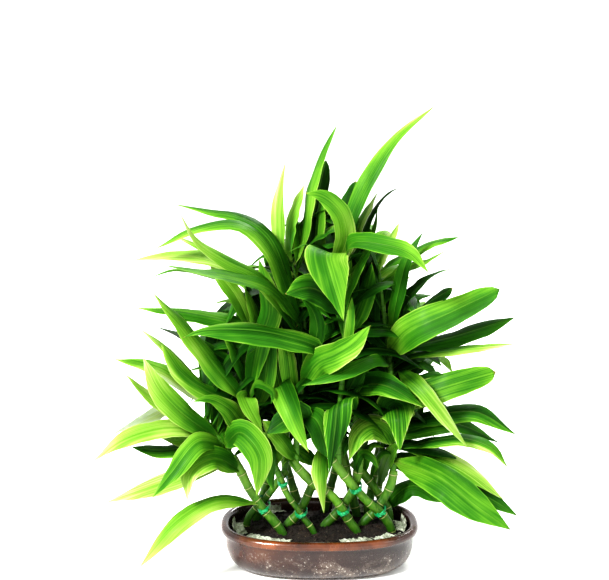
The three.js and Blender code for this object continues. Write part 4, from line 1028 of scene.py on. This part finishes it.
def blade_line(plan, midrib):
    """The stations of a blade on its midrib, and what the tree needs to know at each."""
    shares = np.linspace(0, 1, BLADE_STATIONS)
    line = at_shares(midrib, shares)
    forward = unit(np.gradient(line, axis=0))
    seed = plan["seed"]
    if plan.get("arching"):
        face = np.cross(forward, (math.cos(plan["turn"]), 0, -math.sin(plan["turn"])))
    elif "way" in plan:
        sight = unit(PHOTO_EYE - line)
        hand = 1 if plan["way"][-1][0] < plan["way"][0][0] else -1
        turn = plan["turn"] + 0.4 * np.sin(shares * 3.2 + 6 * drawn(seed)) * shares
        face = np.cross(forward, sight) * (hand * np.sin(turn))[:, None] + sight * np.cos(turn)[:, None]
        face += (0, 0, 0.12)
    else:
        level = unit(np.stack([-forward[:, 1], forward[:, 0], np.zeros(len(line))], axis=1))
        level[:, 2] = 0.5 * (drawn(seed + 0.9) - 0.5)
        face = np.cross(forward, level)
    face = unit(face - forward * np.sum(face * forward, axis=1)[:, None])
    side = np.cross(face, forward)
    for i in range(len(line) - 2, -1, -1):  # where it rises and then arches forwards, its back shows first
        if side[i] @ side[i + 1] < 0:
            side[i] *= -1
            face[i] *= -1
    greens = np.ravel(plan["tone"])
    if len(greens) < 2:
        greens = greens + np.array([0.1, -0.1]) * (1 - 2.2 * drawn(seed + 0.57))
    lime = plan.get("lime")
    if lime is None:
        lime = 0.05 + 0.55 * drawn(seed + 0.7) ** 2
    lean = 0.9 + 0.3 * drawn(seed + 0.6)  # some blades are widest nearer the root, some nearer the tip
    outline = np.interp(shares ** lean, *zip(*plan.get("end", POINTED)))
    outline *= 1 + 0.07 * np.sin(shares * 11 + 6 * drawn(seed + 0.45)) * shares
    same = np.ones(len(line))
    crowd.append(line[6:])
    return line, {
        "rib": line, "face": face, "side": side, "along": shares,
        "half": plan["wide"] / 2 * outline * BLADE_WIDER,
        "fold": np.interp(shares, (0, 0.2, 0.45, 1), (0.6, 0.24, 0.1, 0.08)),
        "arched": np.interp(shares, (0, 0.15, 0.4, 1), (0, 0, 1, 0.6)) * (0.55 * drawn(seed + 0.33) - 0.05),
        "length": same * np.linalg.norm(np.diff(line, axis=0), axis=1).sum(),
        "tone": np.interp(shares, (0.2, 0.9), greens), "margin": same * lime,
        "seed": same * 10 * drawn(seed + 0.2),
    }


DEEPER = {  # leaves that show through the gaps between the others
    "stalk_left_mid": [
        leaf(20, 52, (MID, LIME), (210, 392, 14), (185, 366, 22), (165, 347, 26), (140, 329, 28), lime=0.3),
        leaf(20, 20, DEEP, (262, 395, 14), (266, 372, 18), (268, 340, 16), (264, 318, 12)),
    ],
    "stalk_middle_left": [
        leaf(20, 20, DEEP, (284, 392, 12), (277, 366, 14), (270, 330, 12)),
        leaf(18, 25, MID, (292, 386, 14), (288, 355, 18), (281, 325, 14)),
        leaf(24, 30, SHADE, (300, 372, 4), (293, 330, 2), (287, 290, -2), (280, 262, -10)),
        leaf(17, 35, DEEP, (310, 352, 10), (317, 330, 18), (312, 310, 22), (300, 297, 22)),
        leaf(8, 45, (MID, LIME), (293, 464, 24), (287, 459, 27), (281, 468, 29)),
    ],
    "stalk_middle_right": [
        leaf(10, 40, DEEP, (357, 464, 6), (363, 454, 10), (371, 457, 13), (379, 469, 13)),
        leaf(12, 30, SHADE, (355, 452, 2), (352, 440, 4), (346, 446, 8), (343, 458, 8)),
    ],
    "stalk_right_mid": [
        leaf(10, 45, MID, (371, 470, -14), (377, 458, -8), (385, 452, -4), (393, 455, -2)),
        leaf(12, 30, DEEP, (362, 462, -16), (366, 450, -12), (375, 444, -10), (384, 448, -10)),
    ],
    "stalk_middle": [
        leaf(9, 10, BRIGHT, (346, 352, 22), (350, 325, 26), (352, 296, 22)),
        leaf(22, 30, DEEP, (350, 330, 6), (362, 300, 2), (372, 262, -6)),
        leaf(20, 30, SHADE, (342, 395, 16), (356, 376, 14), (372, 350, 8)),
        leaf(17, 30, SHADE, (338, 352, 0), (333, 330, -4), (328, 304, -8)),
        leaf(18, 30, SHADE, (322, 412, 0), (317, 388, -4), (311, 364, -8)),
        leaf(18, 30, SHADE, (333, 420, 0), (329, 392, -6), (324, 366, -10)),
    ],
}
INNER_COUNT = {"front": 12, "back": 13}  # leaves deeper in the bush, behind the traced ones, for each stalk
INNER_LOW, INNER_HIGH = 0.1, 0.97  # the shares of the shoot between which they grow
INNER_MARGIN = 0.09
FRONT_LIMIT = 0.03  # how far in front of the dish's middle they may come
BACK_LIMIT = 0.18
CANES_SHOW = 0.105  # they end above this height, over the bare canes


def deep_inside(place):
    """Whether an inner leaf may reach a place."""
    return inside_bush(place, INNER_MARGIN) and -FRONT_LIMIT < place[1] < BACK_LIMIT and place[2] > CANES_SHOW


def inner_leaves(stalk):
    """Leaves that fill the bush behind the traced ones, each turned to where there is most room."""
    chosen = []
    count = INNER_COUNT["back" if "foot" in stalk else "front"]
    for index in range(count):
        seed = 3.7 * index + 0.13 * len(stalk["name"]) + stalk["lines"][1][0][0][0] * 900
        height = (index + drawn(seed)) / count
        root = at_shares(stalk["lines"][1], [INNER_LOW + (INNER_HIGH - INNER_LOW) * height])[0]
        climb = math.radians(22 + 46 * height + 20 * drawn(seed + 0.1))
        droop = math.radians(50 + 55 * drawn(seed + 0.3))
        most = 0.12 + 0.045 * drawn(seed + 0.6)
        others = np.concatenate(crowd)
        best = (0.0, None)
        for n in range(10):
            facing = 2.4 * index + 0.63 * n + 6 * drawn(seed + 0.4)
            places, length = arched_places(root, facing, climb, droop, most, 0.06, deep_inside)
            if places is None:
                continue
            midrib = curve_through(places)
            spots = at_shares(midrib, (0.3, 0.5, 0.7, 0.85, 1))
            room = min(np.linalg.norm(others - spot, axis=1).min() for spot in spots) * length ** 0.5
            if room > best[0]:
                best = (room, midrib)
        if best[1] is not None:
            wide = 0.017 + 0.008 * drawn(seed + 0.8)
            # painted shade: the inner leaves are dark, and darker the lower they grow, for the shade inside
            # the bush
            tone = SHADE - 0.04 + 0.3 * drawn(seed + 0.5) * height
            chosen.append(({"seed": seed, "wide": wide, "tone": tone}, best[1]))
            crowd.append(at_shares(best[1], np.linspace(0.3, 1, 12)))
    return chosen


def ruled_plans(stalk):
    """The leaves of a stalk at the back."""
    plans = []
    for index in range(stalk["count"]):
        seed = stalk["foot"][0] + index * 1.7
        wide = (18 + 8 * drawn(seed + 0.1)) / 1000
        plans.append({"index": index, "seed": seed, "wide": wide, "tone": 0.3 + 0.27 * drawn(seed + 0.5)})
    return plans


crowd = []  # places along every leaf so far
for stalk in stalks:
    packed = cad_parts[stalk["name"]].data
    solid = BVHTree.FromPolygons([v.co for v in packed.vertices], [p.vertices[:] for p in packed.polygons])
    plans = ruled_plans(stalk) if "foot" in stalk else stalk["leaves"]
    found = [(plan, settled_midrib(stalk, plan, solid)) for plan in plans]
    lines = [blade_line(plan, midrib) for plan, midrib in found if midrib is not None]
    lines += [blade_line(plan, traced_midrib(stalk, plan, 0)) for plan in DEEPER.get(stalk["name"], [])]
    lines += [blade_line(plan, midrib) for plan, midrib in inner_leaves(stalk)]
    name = stalk["name"].replace("stalk", "leaves")
    leaves = grown(name, polyline_mesh(name, lines), leaf_blades)
    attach(leaves, "root")
    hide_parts(stalk["name"])

# ---- Ties ----
# Plastic-coated garden wire binds the canes where they cross: three turns, and twisted ends at the front.
TIE_WIRE = 0.0015
TIE_TRIM = 0.8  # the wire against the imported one, so that its turns lie inside that
TIE_SQUARE = 0.66  # 1 is an ellipse
TIE_STATIONS = 150
TWIST_THICK = 0.7
TWIST_STATIONS = 40
TIE_RISE = 0.0042  # from the first turn of the wire to the end of the last
TIES = [  # each with the cane in front and the cane behind
    ("tie_1", "stalk_left_low", "stalk_left_back"), ("tie_2", "stalk_middle_left", "stalk_middle_right"),
    ("tie_3", "stalk_middle", "stalk_right_top"), ("tie_4", "stalk_left_mid", "stalk_middle_low"),
    ("tie_5", "stalk_middle", "stalk_middle_right"), ("tie_6", "stalk_left_mid", "stalk_left_back"),
]

wire, tree, shader = finish_named("green_wire")
worn = noise_at(object_place(), 300, 3, 0.5)
colour = ramp(worn, (0.35, (0.0, 0.15, 0.05)), (0.6, (0.004, 0.32, 0.11)), (0.8, (0.06, 0.5, 0.22)))
fill(shader, {"Base Color": colour, "Roughness": ease(worn, 0.3, 0.7, 0.28, 0.45)})
relief(worn, 0.0002, 0.4)


def level_cut(stalk, height):
    """Where a cane passes a height: its middle, its radius, and how far it leans for each metre up."""
    places, _ = stalk["lines"][0]
    at, above = (
        np.array([np.interp(level, places[:, 2], places[:, k]) for k in range(3)])
        for level in (height, height + 0.001)
    )
    forward = unit(above - at)
    return at, stalk["thick"] / 2000 * CANE_RINGS[2], forward[0] / forward[2]


for name, *pair in TIES:
    front, back = (next(stalk for stalk in stalks if stalk["name"] == wanted) for wanted in pair)
    heights = SOIL_LEVEL + 0.006 + 0.0006 * np.arange(100)
    height = min(heights, key=lambda level: abs(level_cut(front, level)[0][0] - level_cut(back, level)[0][0]))
    (a, a_radius, a_slope), (b, b_radius, b_slope) = level_cut(front, height), level_cut(back, height)
    near, far = a[1] - a_radius, b[1] + b_radius
    half_wide = max(a_radius, b_radius) + TIE_WIRE / 2
    half_deep = (far - near) / 2 + TIE_WIRE / 2
    middle = np.array([(a[0] + b[0]) / 2, (near + far) / 2, (a[2] + b[2]) / 2])
    turn = np.linspace(-0.5 * math.pi, 5.5 * math.pi, TIE_STATIONS) - 0.35
    c, s = np.cos(turn), np.sin(turn)
    fall = (a_slope * (1 - s) + b_slope * (1 + s)) / 2  # square to the cane that the wire passes over
    loop = np.stack([
        middle[0] + np.sign(c) * np.abs(c) ** TIE_SQUARE * half_wide * np.cos(np.arctan(fall)),
        middle[1] + np.sign(s) * np.abs(s) ** TIE_SQUARE * half_deep,
        middle[2] - fall * c * half_wide * 0.8 + (turn - turn.mean()) / (6 * math.pi) * TIE_RISE,
    ], axis=1)
    lines = [(loop, {"thick": np.full(TIE_STATIONS, TIE_WIRE / 2 * TIE_TRIM)})]
    knot = np.array([middle[0], middle[1] - half_deep - 0.0004, middle[2]])
    twist = np.linspace(0, 1, TWIST_STATIONS)
    for phase in (0, math.pi):
        reach = knot + np.outer(twist, (0.004, -0.0045, 0.003))
        curl = 0.0008 * np.stack([np.cos(twist * 14 + phase), 0 * twist, np.sin(twist * 14 + phase)], axis=1)
        lines.append((reach + curl, {"thick": np.full(TWIST_STATIONS, TIE_WIRE / 2 * TWIST_THICK)}))
    tie = grown(f"wire_{name}", polyline_mesh(name, lines), swept_rod, sides=8)
    tie.data.materials.clear()
    tie.data.materials.append(wire)
    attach(tie, "root")
    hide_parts(name)

bpy.context.view_layer.update()
